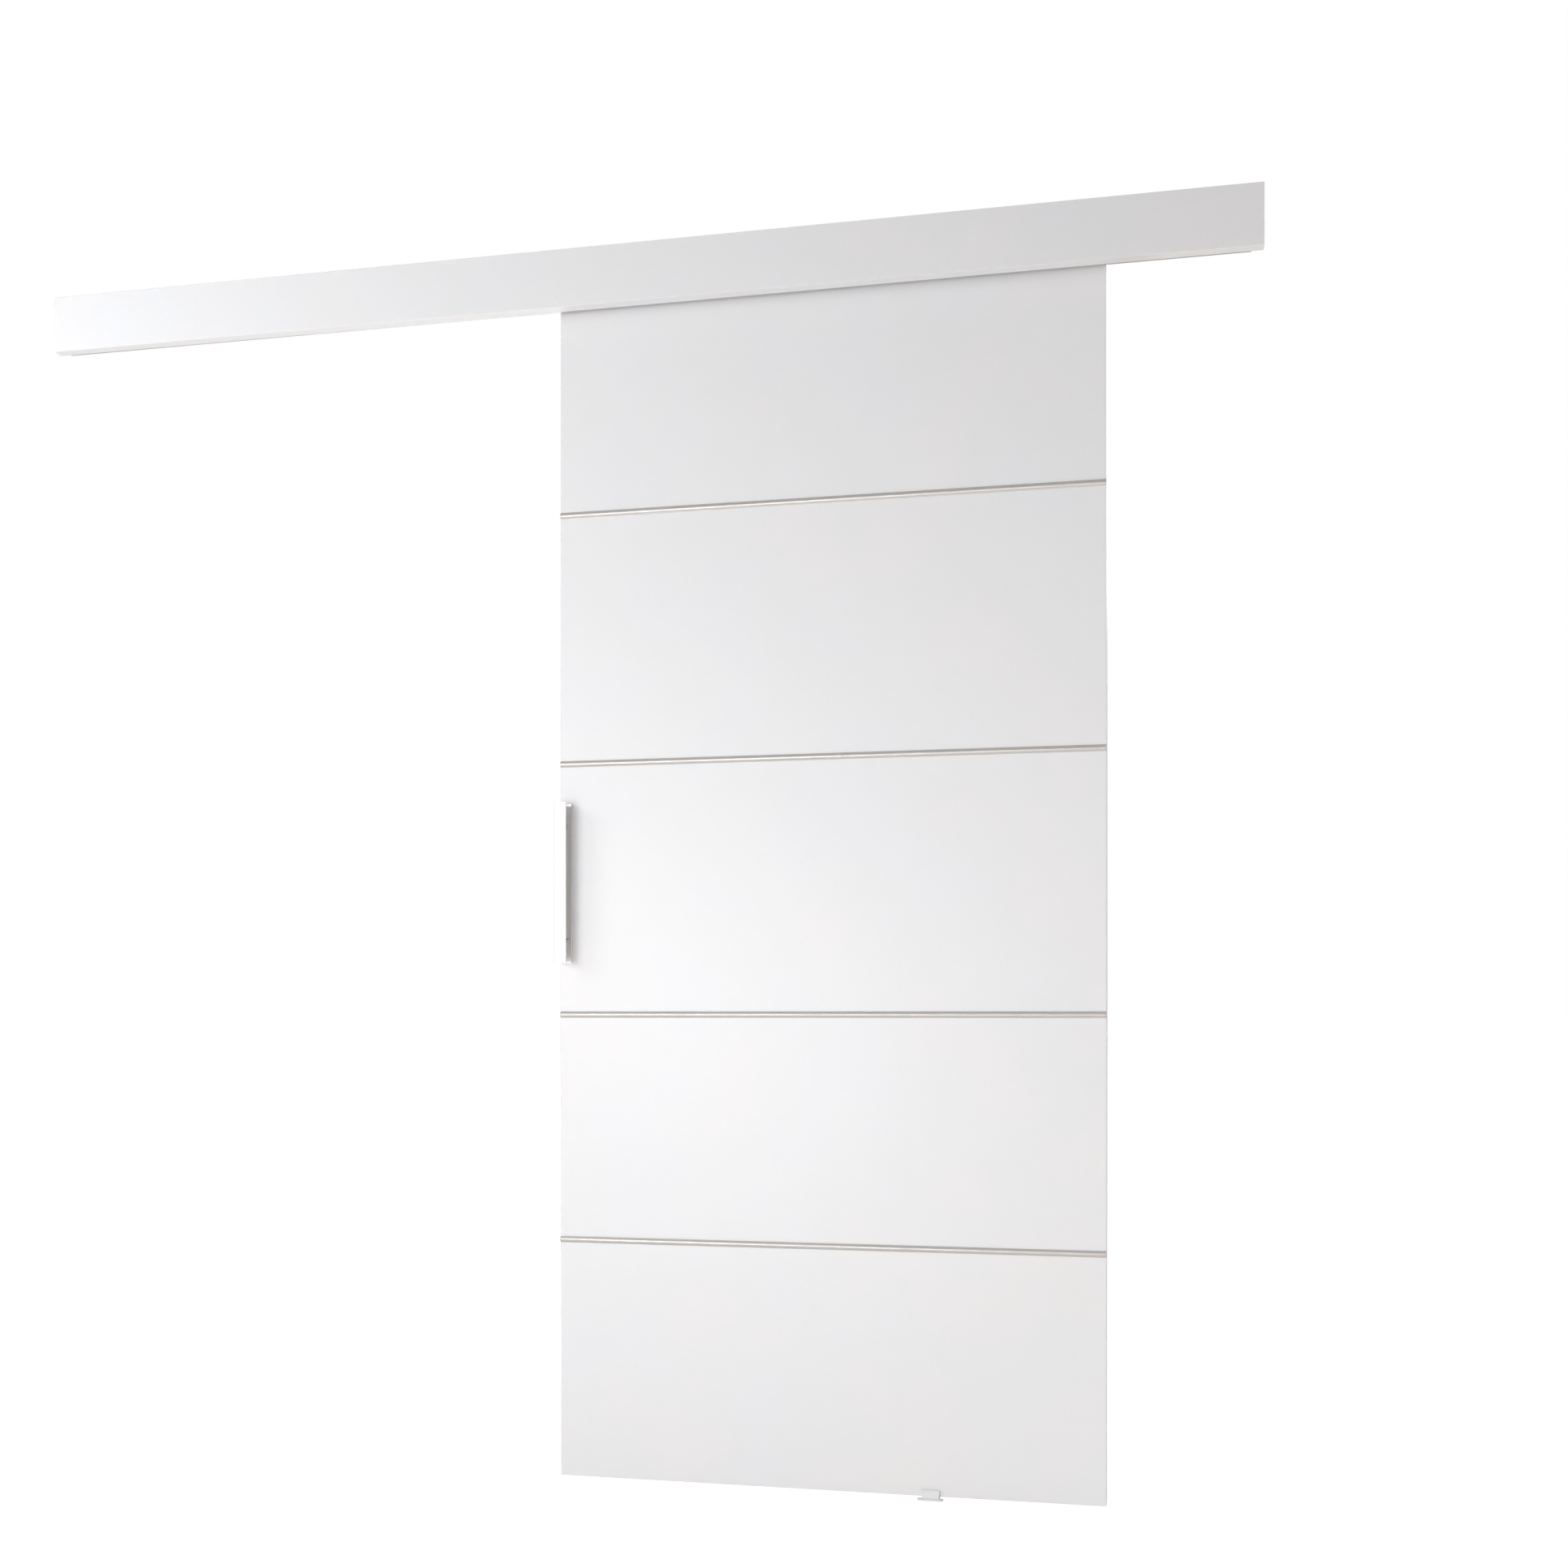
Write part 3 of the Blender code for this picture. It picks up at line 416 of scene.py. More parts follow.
def add_bump(tree, shader, source, depth):
    """depth is the real height of the relief in metres."""
    bump = add(tree, "ShaderNodeBump", values={"Strength": 1.0, "Distance": depth})
    tree.links.new(source, bump.inputs["Height"])
    tree.links.new(bump.outputs["Normal"], shader.inputs["Normal"])


# %% [markdown]
# ### White melamine laminate
# The leaf and the fascia are the same board: a hard white melamine face, satin, with a shallow orange
# peel. The colour is a mix of two whites, one a touch cool and one a touch warm, and a very fine
# speckle rides on it.


# %% Laminate
SPECK_TONE = (0.93, 0.93, 0.93, 1)
SPECK_SPAN = {"From Min": 0.54, "From Max": 0.72, "To Max": 0.6}


def white_board(name, cool, warm, grain_size, relief):
    tree, shader = new_finish(name)
    skin = use_group(tree, peel, {"Grain": grain_size, "Cloud": 0.16, "Fine": 0.45})
    tones = vary_colour(tree, shader, skin.outputs["Cloud"], cool, warm)
    speck = add(tree, "ShaderNodeMapRange", values=SPECK_SPAN)
    lift = add(tree, "ShaderNodeMix", data_type="RGBA")
    lift.inputs["B"].default_value = SPECK_TONE
    link_all(tree, [
        (skin, "Speckle", speck, "Value"), (speck, "Result", lift, "Factor"),
        (tones, "Color", lift, "A"), (lift, "Result", shader, "Base Color"),
    ])
    vary_roughness(tree, shader, skin.outputs["Speckle"], 0.34, 0.42)
    add_bump(tree, shader, skin.outputs["Height"], relief)
    shader.inputs["Specular IOR Level"].default_value = 0.5


white_board("white_laminate", (0.822, 0.821, 0.836), (0.838, 0.821, 0.821), 2.8 * MM, 0.16 * MM)
white_board("white_edging", (0.816, 0.815, 0.828), (0.830, 0.815, 0.814), 1.2 * MM, 0.025 * MM)


# %% [markdown]
# ### Aluminium
# Three aluminium finishes differ in tone and in how rough they are: satin anodised for the strips and
# the rail, a brighter one for the pull, and the duller mill finish for the hidden wall profile. The
# anodic layer on the strips scatters some light, so they are not fully metallic. The lines run along
# each profile, so the squeeze is along X for the long ones and along Z for the pull.


# %% Drawn aluminium
LINE_PITCH = 0.30 * MM


def drawn_aluminium(name, tone, along, rough, relief, ripple=0.0, metal=1.0):
    tree, shader = new_finish(name)
    squeeze = tuple(0.006 if axis == along else 1.0 for axis in "xyz")
    values = {"Squeeze": squeeze, "Pitch": LINE_PITCH, "Breaks": 14.0, "Ripple": ripple}
    marks = use_group(tree, drawn, values)
    dark = tuple(v * 0.90 for v in tone)
    vary_colour(tree, shader, marks.outputs["Height"], dark, tone, (0.38, 0.60))
    shader.inputs["Metallic"].default_value = metal
    vary_roughness(tree, shader, marks.outputs["Mask"], rough - 0.05, rough + 0.06)
    add_bump(tree, shader, marks.outputs["Relief"], relief)


drawn_aluminium("anodised_aluminium", (0.71, 0.680, 0.655), "x", 0.46, 0.45 * MM, 0.85, 0.70)
drawn_aluminium("handle_aluminium", (0.93, 0.92, 0.91), "z", 0.40, 0.012 * MM)
drawn_aluminium("mill_aluminium", (0.56, 0.56, 0.56), "x", 0.42, 0.030 * MM)


# %% [markdown]
# ### Plated steel and cast zinc
# Screws, bolts and nuts are bright zinc plated. The trolleys, plates and stop blocks are castings with
# a slightly pebbled skin. Both are brighter where their edges are rubbed.


# %% Plated and cast metal
RUBBED_TONE = (0.86, 0.86, 0.87, 1)


def plated(name, tone, rough, grain_size, relief):
    tree, shader = new_finish(name)
    skin = use_group(tree, peel, {"Grain": grain_size, "Cloud": 0.02, "Fine": 0.5})
    wear = use_group(tree, rubbed, {})
    tones = vary_colour(tree, shader, skin.outputs["Cloud"], tuple(v * 0.86 for v in tone), tone)
    shine = add(tree, "ShaderNodeMix", data_type="RGBA")
    shine.inputs["B"].default_value = RUBBED_TONE
    link_all(tree, [
        (wear, "Mask", shine, "Factor"), (tones, "Color", shine, "A"),
        (shine, "Result", shader, "Base Color"),
    ])
    shader.inputs["Metallic"].default_value = 1.0
    vary_roughness(tree, shader, skin.outputs["Speckle"], rough - 0.04, rough + 0.08)
    add_bump(tree, shader, skin.outputs["Height"], relief)


plated("zinc_plated_steel", (0.66, 0.67, 0.70), 0.24, 0.9 * MM, 0.006 * MM)
plated("zinc_casting", (0.60, 0.61, 0.64), 0.38, 0.7 * MM, 0.018 * MM)


# %% [markdown]
# ### Plastics and rubber
# The floor guide is glossy white plastic. The wheels are nylon, a little yellower and softer, with a
# trace of light passing into it. The buffers are matt black rubber.


# %% Moulded materials
def moulded(name, first, second, rough, grain_size, relief, glow_depth=0.0):
    tree, shader = new_finish(name)
    skin = use_group(tree, peel, {"Grain": grain_size, "Cloud": 0.03, "Fine": 0.4})
    vary_colour(tree, shader, skin.outputs["Cloud"], first, second)
    vary_roughness(tree, shader, skin.outputs["Speckle"], rough - 0.05, rough + 0.06)
    add_bump(tree, shader, skin.outputs["Height"], relief)
    if glow_depth:
        shader.inputs["Subsurface Weight"].default_value = 0.25
        shader.inputs["Subsurface Scale"].default_value = glow_depth


moulded("white_plastic", (0.80, 0.81, 0.825), (0.83, 0.83, 0.83), 0.30, 1.0 * MM, 0.012 * MM)
moulded("white_nylon", (0.80, 0.78, 0.72), (0.84, 0.82, 0.77), 0.42, 0.8 * MM, 0.015 * MM, 1.5 * MM)
moulded("black_rubber", (0.018, 0.018, 0.019), (0.032, 0.031, 0.030), 0.72, 0.6 * MM, 0.05 * MM)


# %% [markdown]
# ### Timber inside the leaf
# Only the ends of the softwood frame show, along the leaf's top and bottom edges. A stretched noise
# bends a set of bands into growth rings. The slat grid inside is raw hardboard, which is plain brown
# with fine fibres.


# %% Softwood and hardboard
def timber(name, early, late, ring, fibre):
    tree, shader = new_finish(name)
    where = add(tree, "ShaderNodeTexCoord")
    warp = add(tree, "ShaderNodeMapping", values={"Scale": (1.0, 1.0, 0.12)})
    rings = add(tree, "ShaderNodeTexWave", values={"Scale": ring, "Distortion": 6.0, "Detail": 3.0})
    fibres = add(tree, "ShaderNodeTexNoise", values={"Scale": fibre, "Detail": 6.0, "Roughness": 0.7})
    link_all(tree, [
        (where, "Object", warp, "Vector"), (warp, 0, rings, "Vector"), (warp, 0, fibres, "Vector"),
    ])
    vary_colour(tree, shader, rings.outputs["Fac"], early, late, (0.15, 0.9))
    vary_roughness(tree, shader, fibres.outputs["Fac"], 0.62, 0.82)
    add_bump(tree, shader, fibres.outputs["Fac"], 0.12 * MM)


timber("pine_frame", (0.74, 0.56, 0.36), (0.60, 0.40, 0.21), 60.0, 900.0)
timber("fibreboard_core", (0.36, 0.24, 0.14), (0.42, 0.29, 0.17), 8.0, 1500.0)
print("finishes", sorted(MATERIALS))

# %% [markdown]
# ## Tools for making shapes
# Four kinds of making cover nearly every piece: pressing a section out along its length, turning a
# profile on a lathe, cutting with another shape, and rounding edges. Each gets one short function. All
# meshes are built at their real place, so that a piece never needs moving.


# %% From a bmesh to a piece that stands for a node
def piece_from(name, bm, finish_name):
    """Turn a bmesh into a linked object with its finish, all faces looking outward."""
    bmesh.ops.recalc_face_normals(bm, faces=bm.faces)
    made = object_from(name, bm)
    made.data.materials.append(MATERIALS[finish_name])
    return made


def settle(made):
    """Apply what the modifiers do, so that the piece is one plain mesh."""
    graph = bpy.context.evaluated_depsgraph_get()
    mesh = bpy.data.meshes.new_from_object(made.evaluated_get(graph))
    old = made.data
    made.modifiers.clear()
    made.data = mesh
    bpy.data.meshes.remove(old)
    return made


def smooth(made, angle=32):
    """Round faces blend, flat faces stay flat: big faces decide the normals at their edges."""
    made.data.shade_smooth()
    made.data.set_sharp_from_angle(angle=math.radians(angle))
    step = made.modifiers.new("weigh", "WEIGHTED_NORMAL")
    step.keep_sharp = True
    step.weight = 100
    return settle(made)


def stand_for(made, node):
    """The new piece takes the node's place and rides on its body."""
    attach(made, BODY_OF[node])
    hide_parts(node)


# %% Sections and lathe work
AXES = {"x": Vector((1, 0, 0)), "y": Vector((0, 1, 0)), "z": Vector((0, 0, 1))}
LIFT = {
    "x": lambda u, v, w: (w, u, v),
    "y": lambda u, v, w: (v, w, u),
    "z": lambda u, v, w: (u, v, w),
}


def arc(centre, radius, start, end, count):
    """Points round part of a circle, angles in degrees."""
    points = []
    for i in range(count + 1):
        angle = math.radians(start + (end - start) * i / count)
        points.append((centre[0] + radius * math.cos(angle), centre[1] + radius * math.sin(angle)))
    return points


def rounded_box(centre, width, tall, radius, count=6):
    """Outline of a rectangle with round corners."""
    x = width / 2 - radius
    y = tall / 2 - radius
    points = []
    for i, (a, b) in enumerate(((x, y), (-x, y), (-x, -y), (x, -y))):
        corner = (centre[0] + a, centre[1] + b)
        points += arc(corner, radius, 90 * i, 90 * i + 90, count)
    return points


def press_out(bm, outline, along, start, end):
    """A section drawn across an axis and pressed out from start to end."""
    place = LIFT[along]
    ring = [bm.verts.new(place(u, v, start)) for u, v in outline]
    face = bm.faces.new(ring)
    swept = bmesh.ops.extrude_face_region(bm, geom=[face])
    moved = [item for item in swept["geom"] if isinstance(item, bmesh.types.BMVert)]
    bmesh.ops.translate(bm, verts=moved, vec=AXES[along] * (end - start))


def turn(bm, profile, matrix, steps, closed=False):
    """Spin (radius, height) points about local Z. A radius of 0 closes the shape on its axis."""
    rings = []
    for radius, level in profile:
        if radius < 1e-9:
            rings.append([bm.verts.new(matrix @ Vector((0, 0, level)))])
            continue
        ring = []
        for i in range(steps):
            angle = 2 * math.pi * i / steps
            spot = Vector((radius * math.cos(angle), radius * math.sin(angle), level))
            ring.append(bm.verts.new(matrix @ spot))
        rings.append(ring)
    pairs = list(zip(rings, rings[1:]))
    if closed:
        pairs.append((rings[-1], rings[0]))
    for upper, lower in pairs:
        for i in range(steps):
            j = (i + 1) % steps
            if len(upper) == 1:
                bm.faces.new((upper[0], lower[i], lower[j]))
            elif len(lower) == 1:
                bm.faces.new((upper[i], lower[0], upper[j]))
            else:
                bm.faces.new((upper[i], lower[i], lower[j], upper[j]))


# %% Which way local Z points
FACING = {
    "front": Matrix.Rotation(math.radians(90), 4, "X"),
    "back": Matrix.Rotation(math.radians(-90), 4, "X"),
    "up": Matrix.Identity(4),
    "down": Matrix.Rotation(math.radians(180), 4, "X"),
    "right": Matrix.Rotation(math.radians(90), 4, "Y"),
    "left": Matrix.Rotation(math.radians(-90), 4, "Y"),
}


def at(place, facing="up"):
    """A matrix that stands a shape at a place with its Z along the facing."""
    return Matrix.Translation(Vector(place)) @ FACING[facing]


# %% [markdown]
# Cutting uses the Boolean modifier and applies it at once. The tool is a throw-away object, built by
# the same functions, and is removed when the cut is made.


# %% Cutting and rounding
def close_tube(bm, rings):
    """Faces from each ring of vertices to the next, and a cap on both ends."""
    count = len(rings[0])
    for near, far in zip(rings, rings[1:]):
        for i in range(count):
            j = (i + 1) % count
            bm.faces.new((near[i], near[j], far[j], far[i]))
    bm.faces.new(list(reversed(rings[0])))
    bm.faces.new(rings[-1])


def carve(made, build, operation="DIFFERENCE"):
    """Cut or join with the shape that build() adds to an empty bmesh."""
    bm = bmesh.new()
    build(bm)
    bmesh.ops.recalc_face_normals(bm, faces=bm.faces)
    tool = object_from("tool", bm)
    mesh = tool.data
    step = made.modifiers.new("carve", "BOOLEAN")
    step.operation = operation
    step.solver = "EXACT"
    step.object = tool
    settle(made)
    bpy.data.objects.remove(tool)
    bpy.data.meshes.remove(mesh)


def round_edges(made, width, segments=3, angle=40):
    """Bevel every edge that turns by more than the angle."""
    step = made.modifiers.new("round", "BEVEL")
    step.width = width
    step.segments = segments
    step.limit_method = "ANGLE"
    step.angle_limit = math.radians(angle)
    step.harden_normals = False
    settle(made)


def bar(bm, low, high):
    """A plain block between two corners, used as a tool or as a starting shape."""
    size = Vector(high) - Vector(low)
    centre = (Vector(high) + Vector(low)) / 2
    bmesh.ops.create_cube(bm, size=1.0, matrix=Matrix.Translation(centre) @ Matrix.Diagonal((*size, 1)))


def pin(bm, place, facing, radius, length, steps=32):
    """A plain cylinder, centred on its place."""
    turn(bm, [(0, length / 2), (radius, length / 2), (radius, -length / 2), (0, -length / 2)],
         at(place, facing), steps)


# %% [markdown]
# ## The leaf's faces and edges
# The faces of the leaf stay as the working model has them: flat boards with saw grooves that the
# strips cover. The vertical edges carry a thin edging, machined to a small radius on both arrises, and
# that radius is what draws the fine bright line down the leaf's corners. So the edgings are made again
# with rounded outer corners, notched where a strip's leg runs out.

# %% Finish the boards
KEPT_BOARDS = {
    "white_laminate": ("leaf_front_skin", "leaf_rear_skin"),
    "pine_frame": ("leaf_left_stile", "leaf_right_stile", "leaf_top_rail", "leaf_bottom_rail"),
    "fibreboard_core": ("leaf_core_grid",),
}
for finish, nodes in KEPT_BOARDS.items():
    for node in nodes:
        looks = frame["nodes"][node].data.materials
        looks.clear()
        looks.append(MATERIALS[finish])
print("boards", {finish: len(nodes) for finish, nodes in KEPT_BOARDS.items()})

# %% Edgings with machined arrises
EDGE_RADIUS = 0.8 * MM
NOTCH_HALF = 1.3 * MM
NOTCH_DEEP = 4.8 * MM
STRIPS = [f"leaf_strip_{i}" for i in range(1, 5)]


def strip_line(node):
    """The height of a strip's middle."""
    low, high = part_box(node)
    return (low.z + high.z) / 2


def notch_tool(low_x, high_x):
    """One bar for each strip's leg."""
    def build(bm):
        for node in STRIPS:
            z = strip_line(node)
            bar(bm, (low_x, LEAF_FRONT - 1 * MM, z - NOTCH_HALF),
                (high_x, LEAF_FRONT + NOTCH_DEEP, z + NOTCH_HALF))

    return build


for side, outward in (("left", -1), ("right", 1)):
    node = f"leaf_{side}_edging"
    low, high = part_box(node)
    outer = low.x if outward < 0 else high.x
    inner = high.x if outward < 0 else low.x
    inset = outer - outward * EDGE_RADIUS
    start = 180 if outward < 0 else 0
    front = arc((inset, low.y + EDGE_RADIUS), EDGE_RADIUS, 270, start + (360 if outward > 0 else 0), 6)
    back = arc((inset, high.y - EDGE_RADIUS), EDGE_RADIUS, start, 90, 6)
    bm = bmesh.new()
    press_out(bm, [(inner, low.y)] + front + back + [(inner, high.y)], "z", low.z, high.z)
    edging = piece_from(f"{side}_edging", bm, "white_edging")
    carve(edging, notch_tool(low.x - 1 * MM, high.x + 1 * MM))
    smooth(edging)
    stand_for(edging, node)
print("edgings done, radius", EDGE_RADIUS / MM, "mm")

# %% [markdown]
# White hot-melt glue fills the joint behind each edging, just short of the surface. Without it the
# joint would read as a dark saw cut, which a banded board never shows.

# %% Glue lines behind the edgings
GLUE_SHORT = 0.03 * MM
GLUE_SUNK = 0.1 * MM

for side, outward in (("left", -1), ("right", 1)):
    low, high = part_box(f"leaf_{side}_edging")
    inner = high.x if outward < 0 else low.x
    reach = sorted((inner - outward * GLUE_SHORT, inner - outward * (GAP - GLUE_SHORT)))
    bm = bmesh.new()
    bar(bm, (reach[0], low.y + GLUE_SUNK, low.z), (reach[1], high.y - GLUE_SUNK, high.z))
    glue = piece_from(f"{side}_glue_line", bm, "white_edging")
    carve(glue, notch_tool(low.x - 1 * MM, high.x + 1 * MM))
    settle(glue)
    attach(glue, "leaf")
print("glue lines done")

# %% [markdown]
# ## The aluminium strips
# Each strip is a low domed cap with a leg that is pressed into the groove. The dome is what makes it
# read as metal: its upper side mirrors the ceiling, its front the dimmer room and its lower side the
# bright floor, so one narrow strip shows three or four bands. A section with a fine arc, small
# rolled edges and a leg is pressed out along the leaf.

# %% Strip section
CAP_HALF = 5.5 * MM
CAP_PROUD = 4.0 * MM
CAP_SIDE = 1.0 * MM
CAP_ROLL = 1.3 * MM
LEG_HALF = 1.0 * MM
LEG_DEEP = 4.2 * MM


def strip_outline(z):
    """Seen from the end, front to the left: flat back, straight sides, shallow dome."""
    back = LEAF_FRONT - GAP
    crown = CAP_PROUD - CAP_SIDE - CAP_ROLL * 0.55
    flat_half = CAP_HALF - CAP_ROLL
    radius = (flat_half**2 + crown**2) / (2 * crown)
    reach = math.degrees(math.asin(flat_half / radius))
    dome = arc((back - CAP_PROUD + radius, z), radius, 180 - reach, 180 + reach, 20)
    shoulder = back - CAP_SIDE
    upper = [(back, z + CAP_HALF), (shoulder, z + CAP_HALF)]
    lower = [(shoulder, z - CAP_HALF), (back, z - CAP_HALF)]
    leg = [
        (back, z - LEG_HALF), (LEAF_FRONT + LEG_DEEP, z - LEG_HALF),
        (LEAF_FRONT + LEG_DEEP, z + LEG_HALF), (back, z + LEG_HALF),
    ]
    return upper + dome + lower + leg


END_EASE = ((0.0, 0.84), (0.15 * MM, 0.92), (0.45 * MM, 0.975), (0.9 * MM, 1.0))


def strip_with_eased_ends(bm, node):
    """The section is repeated along the leaf and drawn in a little at both ends."""
    low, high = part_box(node)
    z = strip_line(node)
    outline = strip_outline(z)
    stations = [(low.x + depth, share) for depth, share in END_EASE]
    stations += [(high.x - depth, share) for depth, share in reversed(END_EASE)]
    rings = []
    for x, share in stations:
        eased = [(LEAF_FRONT + (y - LEAF_FRONT) * share, z + (v - z) * share) for y, v in outline]
        rings.append([bm.verts.new((x, y, v)) for y, v in eased])
    close_tube(bm, rings)


for node in STRIPS:
    bm = bmesh.new()
    strip_with_eased_ends(bm, node)
    strip = piece_from(node.replace("leaf_", "capping_"), bm, "anodised_aluminium")
    smooth(strip, 40)
    stand_for(strip, node)
print("strips", len(STRIPS), "each", round(2 * CAP_HALF / MM, 1), "mm wide")

# %% [markdown]
# ## The pull
# The pull is a short length of channel profile: a flange on the leaf, a web standing out along the
# leaf's edge and a front lip. Fingers hook in from the right. The lip faces the soft box and reads
# almost white, while the channel behind it is in shade. The cut ends are lightly deburred.

# %% Channel section with soft corners
PULL_WALL = 2.5 * MM
PULL_CORNER = 2.0 * MM
PULL_ROOT = 3.0 * MM
SCREW_HOLE = 2.3 * MM  # radius that passes a 4 mm screw
CUT_EDGE = 0.3 * MM

pull_low, pull_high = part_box("pull_handle")


def channel_outline(low, high):
    """Seen from above: flange against the leaf, web on the left, lip at the front."""
    tip = PULL_WALL / 2
    inner_left = low.x + PULL_WALL + PULL_ROOT
    flange = high.y - PULL_WALL
    lip = low.y + PULL_WALL
    return (
        arc((low.x + PULL_CORNER, high.y - PULL_CORNER), PULL_CORNER, 180, 90, 8)
        + arc((high.x - tip, high.y - tip), tip, 90, -90, 10)
        + arc((inner_left, flange - PULL_ROOT), PULL_ROOT, 90, 180, 10)
        + arc((inner_left, lip + PULL_ROOT), PULL_ROOT, 180, 270, 10)
        + arc((high.x - tip, low.y + tip), tip, 90, -90, 10)
        + arc((low.x + PULL_CORNER, low.y + PULL_CORNER), PULL_CORNER, 270, 180, 8)
    )


bm = bmesh.new()
press_out(bm, channel_outline(pull_low, pull_high), "z", pull_low.z, pull_high.z)
pull = piece_from("channel_pull", bm, "handle_aluminium")


def pull_holes(bm):
    for i in (1, 2):
        low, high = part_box(f"handle_screw_{i}")
        centre = ((low.x + high.x) / 2, pull_high.y, (low.z + high.z) / 2)
        pin(bm, centre, "front", SCREW_HOLE, 4 * PULL_WALL)


carve(pull, pull_holes)
round_edges(pull, CUT_EDGE, 2, 50)
smooth(pull, 30)
stand_for(pull, "pull_handle")

# %% [markdown]
# ## The fascia
# The fascia is a plain board with the same white face all round and edges banded to a small radius.
# Three pilot holes in its back take the screws from inside. It is a block with its twelve arrises
# rounded, then drilled.

# %% Fascia board
FASCIA_RADIUS = 0.7 * MM
bm = bmesh.new()
bar(bm, fascia_low, fascia_high)
fascia = piece_from("fascia", bm, "white_laminate")
round_edges(fascia, FASCIA_RADIUS, 4)


def fascia_pilots(bm):
    for i in (1, 2, 3):
        low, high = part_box(f"fascia_screw_{i}")
        deep = fascia_high.y - low.y + 0.4 * MM
        centre = ((low.x + high.x) / 2, fascia_high.y - deep / 2 + 1 * MM, (low.z + high.z) / 2)
        pin(bm, centre, "front", SCREW_HOLE, deep + 2 * MM, 24)


carve(fascia, fascia_pilots)
smooth(fascia)
stand_for(fascia, "fascia_board")

# %% [markdown]
# ## The hidden track
# Behind the fascia, a pressed profile is screwed to the wall and carries the running rail. Both are
# sections pressed out along the wall, with a shallow V groove that guides the drill where screws pass.
# Their holes are cut round. The wall profile's arrises get a breath of rounding, because a die leaves
# no knife edges, and the rail's lips are rounded where the wheels run.

# %% Wall profile
V_GROOVE = 0.5 * MM
profile_low, profile_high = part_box("wall_profile")
rail_low, rail_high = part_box("running_rail")
WALL = 3.0 * MM
WALL_LEG = 32 * MM
WIDE_HOLE = 2.8 * MM  # radius that passes a 5 mm shank
WEB_UNDER = rail_high.z + GAP
SCREW_LINE = 0.0


def middle_of(node):
    low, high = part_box(node)
    return (low + high) / 2


WALL_SCREWS = [middle_of(f"wall_screw_{i}") for i in (1, 2, 3, 4)]
RAIL_SCREWS = [middle_of(f"rail_screw_{i}") for i in (1, 2)]
FASCIA_SCREWS = [middle_of(f"fascia_screw_{i}") for i in (1, 2, 3)]
STOP_SCREWS = [middle_of(f"stop_screw_{side}") for side in ("left", "right")]

back = profile_high.y
front = profile_low.y
mid_rail = (rail_low.y + rail_high.y) / 2
wall_leg_low = WEB_UNDER - WALL_LEG
profile_outline = [
    (back, wall_leg_low), (back, profile_high.z), (back - WALL, profile_high.z),
    (back - WALL, SCREW_LINE + V_GROOVE), (back - WALL + V_GROOVE, SCREW_LINE),
    (back - WALL, SCREW_LINE - V_GROOVE), (back - WALL, WEB_UNDER + WALL),
    (mid_rail + V_GROOVE, WEB_UNDER + WALL), (mid_rail, WEB_UNDER + WALL - V_GROOVE),
    (mid_rail - V_GROOVE, WEB_UNDER + WALL), (front, WEB_UNDER + WALL), (front, profile_low.z),
    (front + WALL, profile_low.z), (front + WALL, WEB_UNDER), (back - WALL, WEB_UNDER),
    (back - WALL, wall_leg_low),
]
bm = bmesh.new()
press_out(bm, profile_outline, "x", profile_low.x, profile_high.x)
wall_profile = piece_from("wall_extrusion", bm, "mill_aluminium")
round_edges(wall_profile, CUT_EDGE, 2, 50)


def profile_holes(bm):
    for c in WALL_SCREWS:
        pin(bm, (c.x, back - WALL / 2, c.z), "front", WIDE_HOLE, 4 * WALL)
    for c in RAIL_SCREWS:
        pin(bm, (c.x, c.y, WEB_UNDER + WALL / 2), "up", SCREW_HOLE, 4 * WALL)
    for c in STOP_SCREWS:
        pin(bm, (c.x, c.y, WEB_UNDER + WALL / 2), "up", WIDE_HOLE, 4 * WALL)
    for c in FASCIA_SCREWS:
        pin(bm, (c.x, front + WALL / 2, c.z), "front", SCREW_HOLE, 4 * WALL)


carve(wall_profile, profile_holes)
smooth(wall_profile)
stand_for(wall_profile, "wall_profile")

# %% Running rail
RAIL_WALL = 2.5 * MM
RAIL_LIP = 3.0 * MM
RAIL_SLOT = 12 * MM
LIP_ROUND = 0.9 * MM


def rail_outline():
    """A C with its slot below. The lips are rounded where the wheels run off them."""
    low, high = rail_low, rail_high
    half = (high.y - low.y) / 2
    inner = half - RAIL_WALL
    slot = RAIL_SLOT / 2
    roof = high.z - RAIL_WALL
    lip = low.z + RAIL_LIP
    right = (
        [(mid_rail + V_GROOVE, high.z), (mid_rail + half, high.z), (mid_rail + half, low.z)]
        + arc((mid_rail + slot + LIP_ROUND, low.z + LIP_ROUND), LIP_ROUND, 270, 180, 4)
        + arc((mid_rail + slot + LIP_ROUND, lip - LIP_ROUND), LIP_ROUND, 180, 90, 4)
        + [(mid_rail + inner, lip), (mid_rail + inner, roof)]
    )
    left = [(2 * mid_rail - y, z) for y, z in reversed(right)]
    return right + left + [(mid_rail, high.z - V_GROOVE)]


bm = bmesh.new()
press_out(bm, rail_outline(), "x", rail_low.x, rail_high.x)
rail = piece_from("c_rail", bm, "anodised_aluminium")


def rail_holes(bm):
    for c in RAIL_SCREWS:
        pin(bm, (c.x, c.y, rail_high.z), "up", SCREW_HOLE, 8 * MM)
    for c in STOP_SCREWS:
        pin(bm, (c.x, c.y, rail_high.z), "up", WIDE_HOLE, 8 * MM)


carve(rail, rail_holes)
smooth(rail)
stand_for(rail, "running_rail")
print("rail slot", RAIL_SLOT / MM, "mm, wheels run on lips", RAIL_LIP / MM, "mm thick")

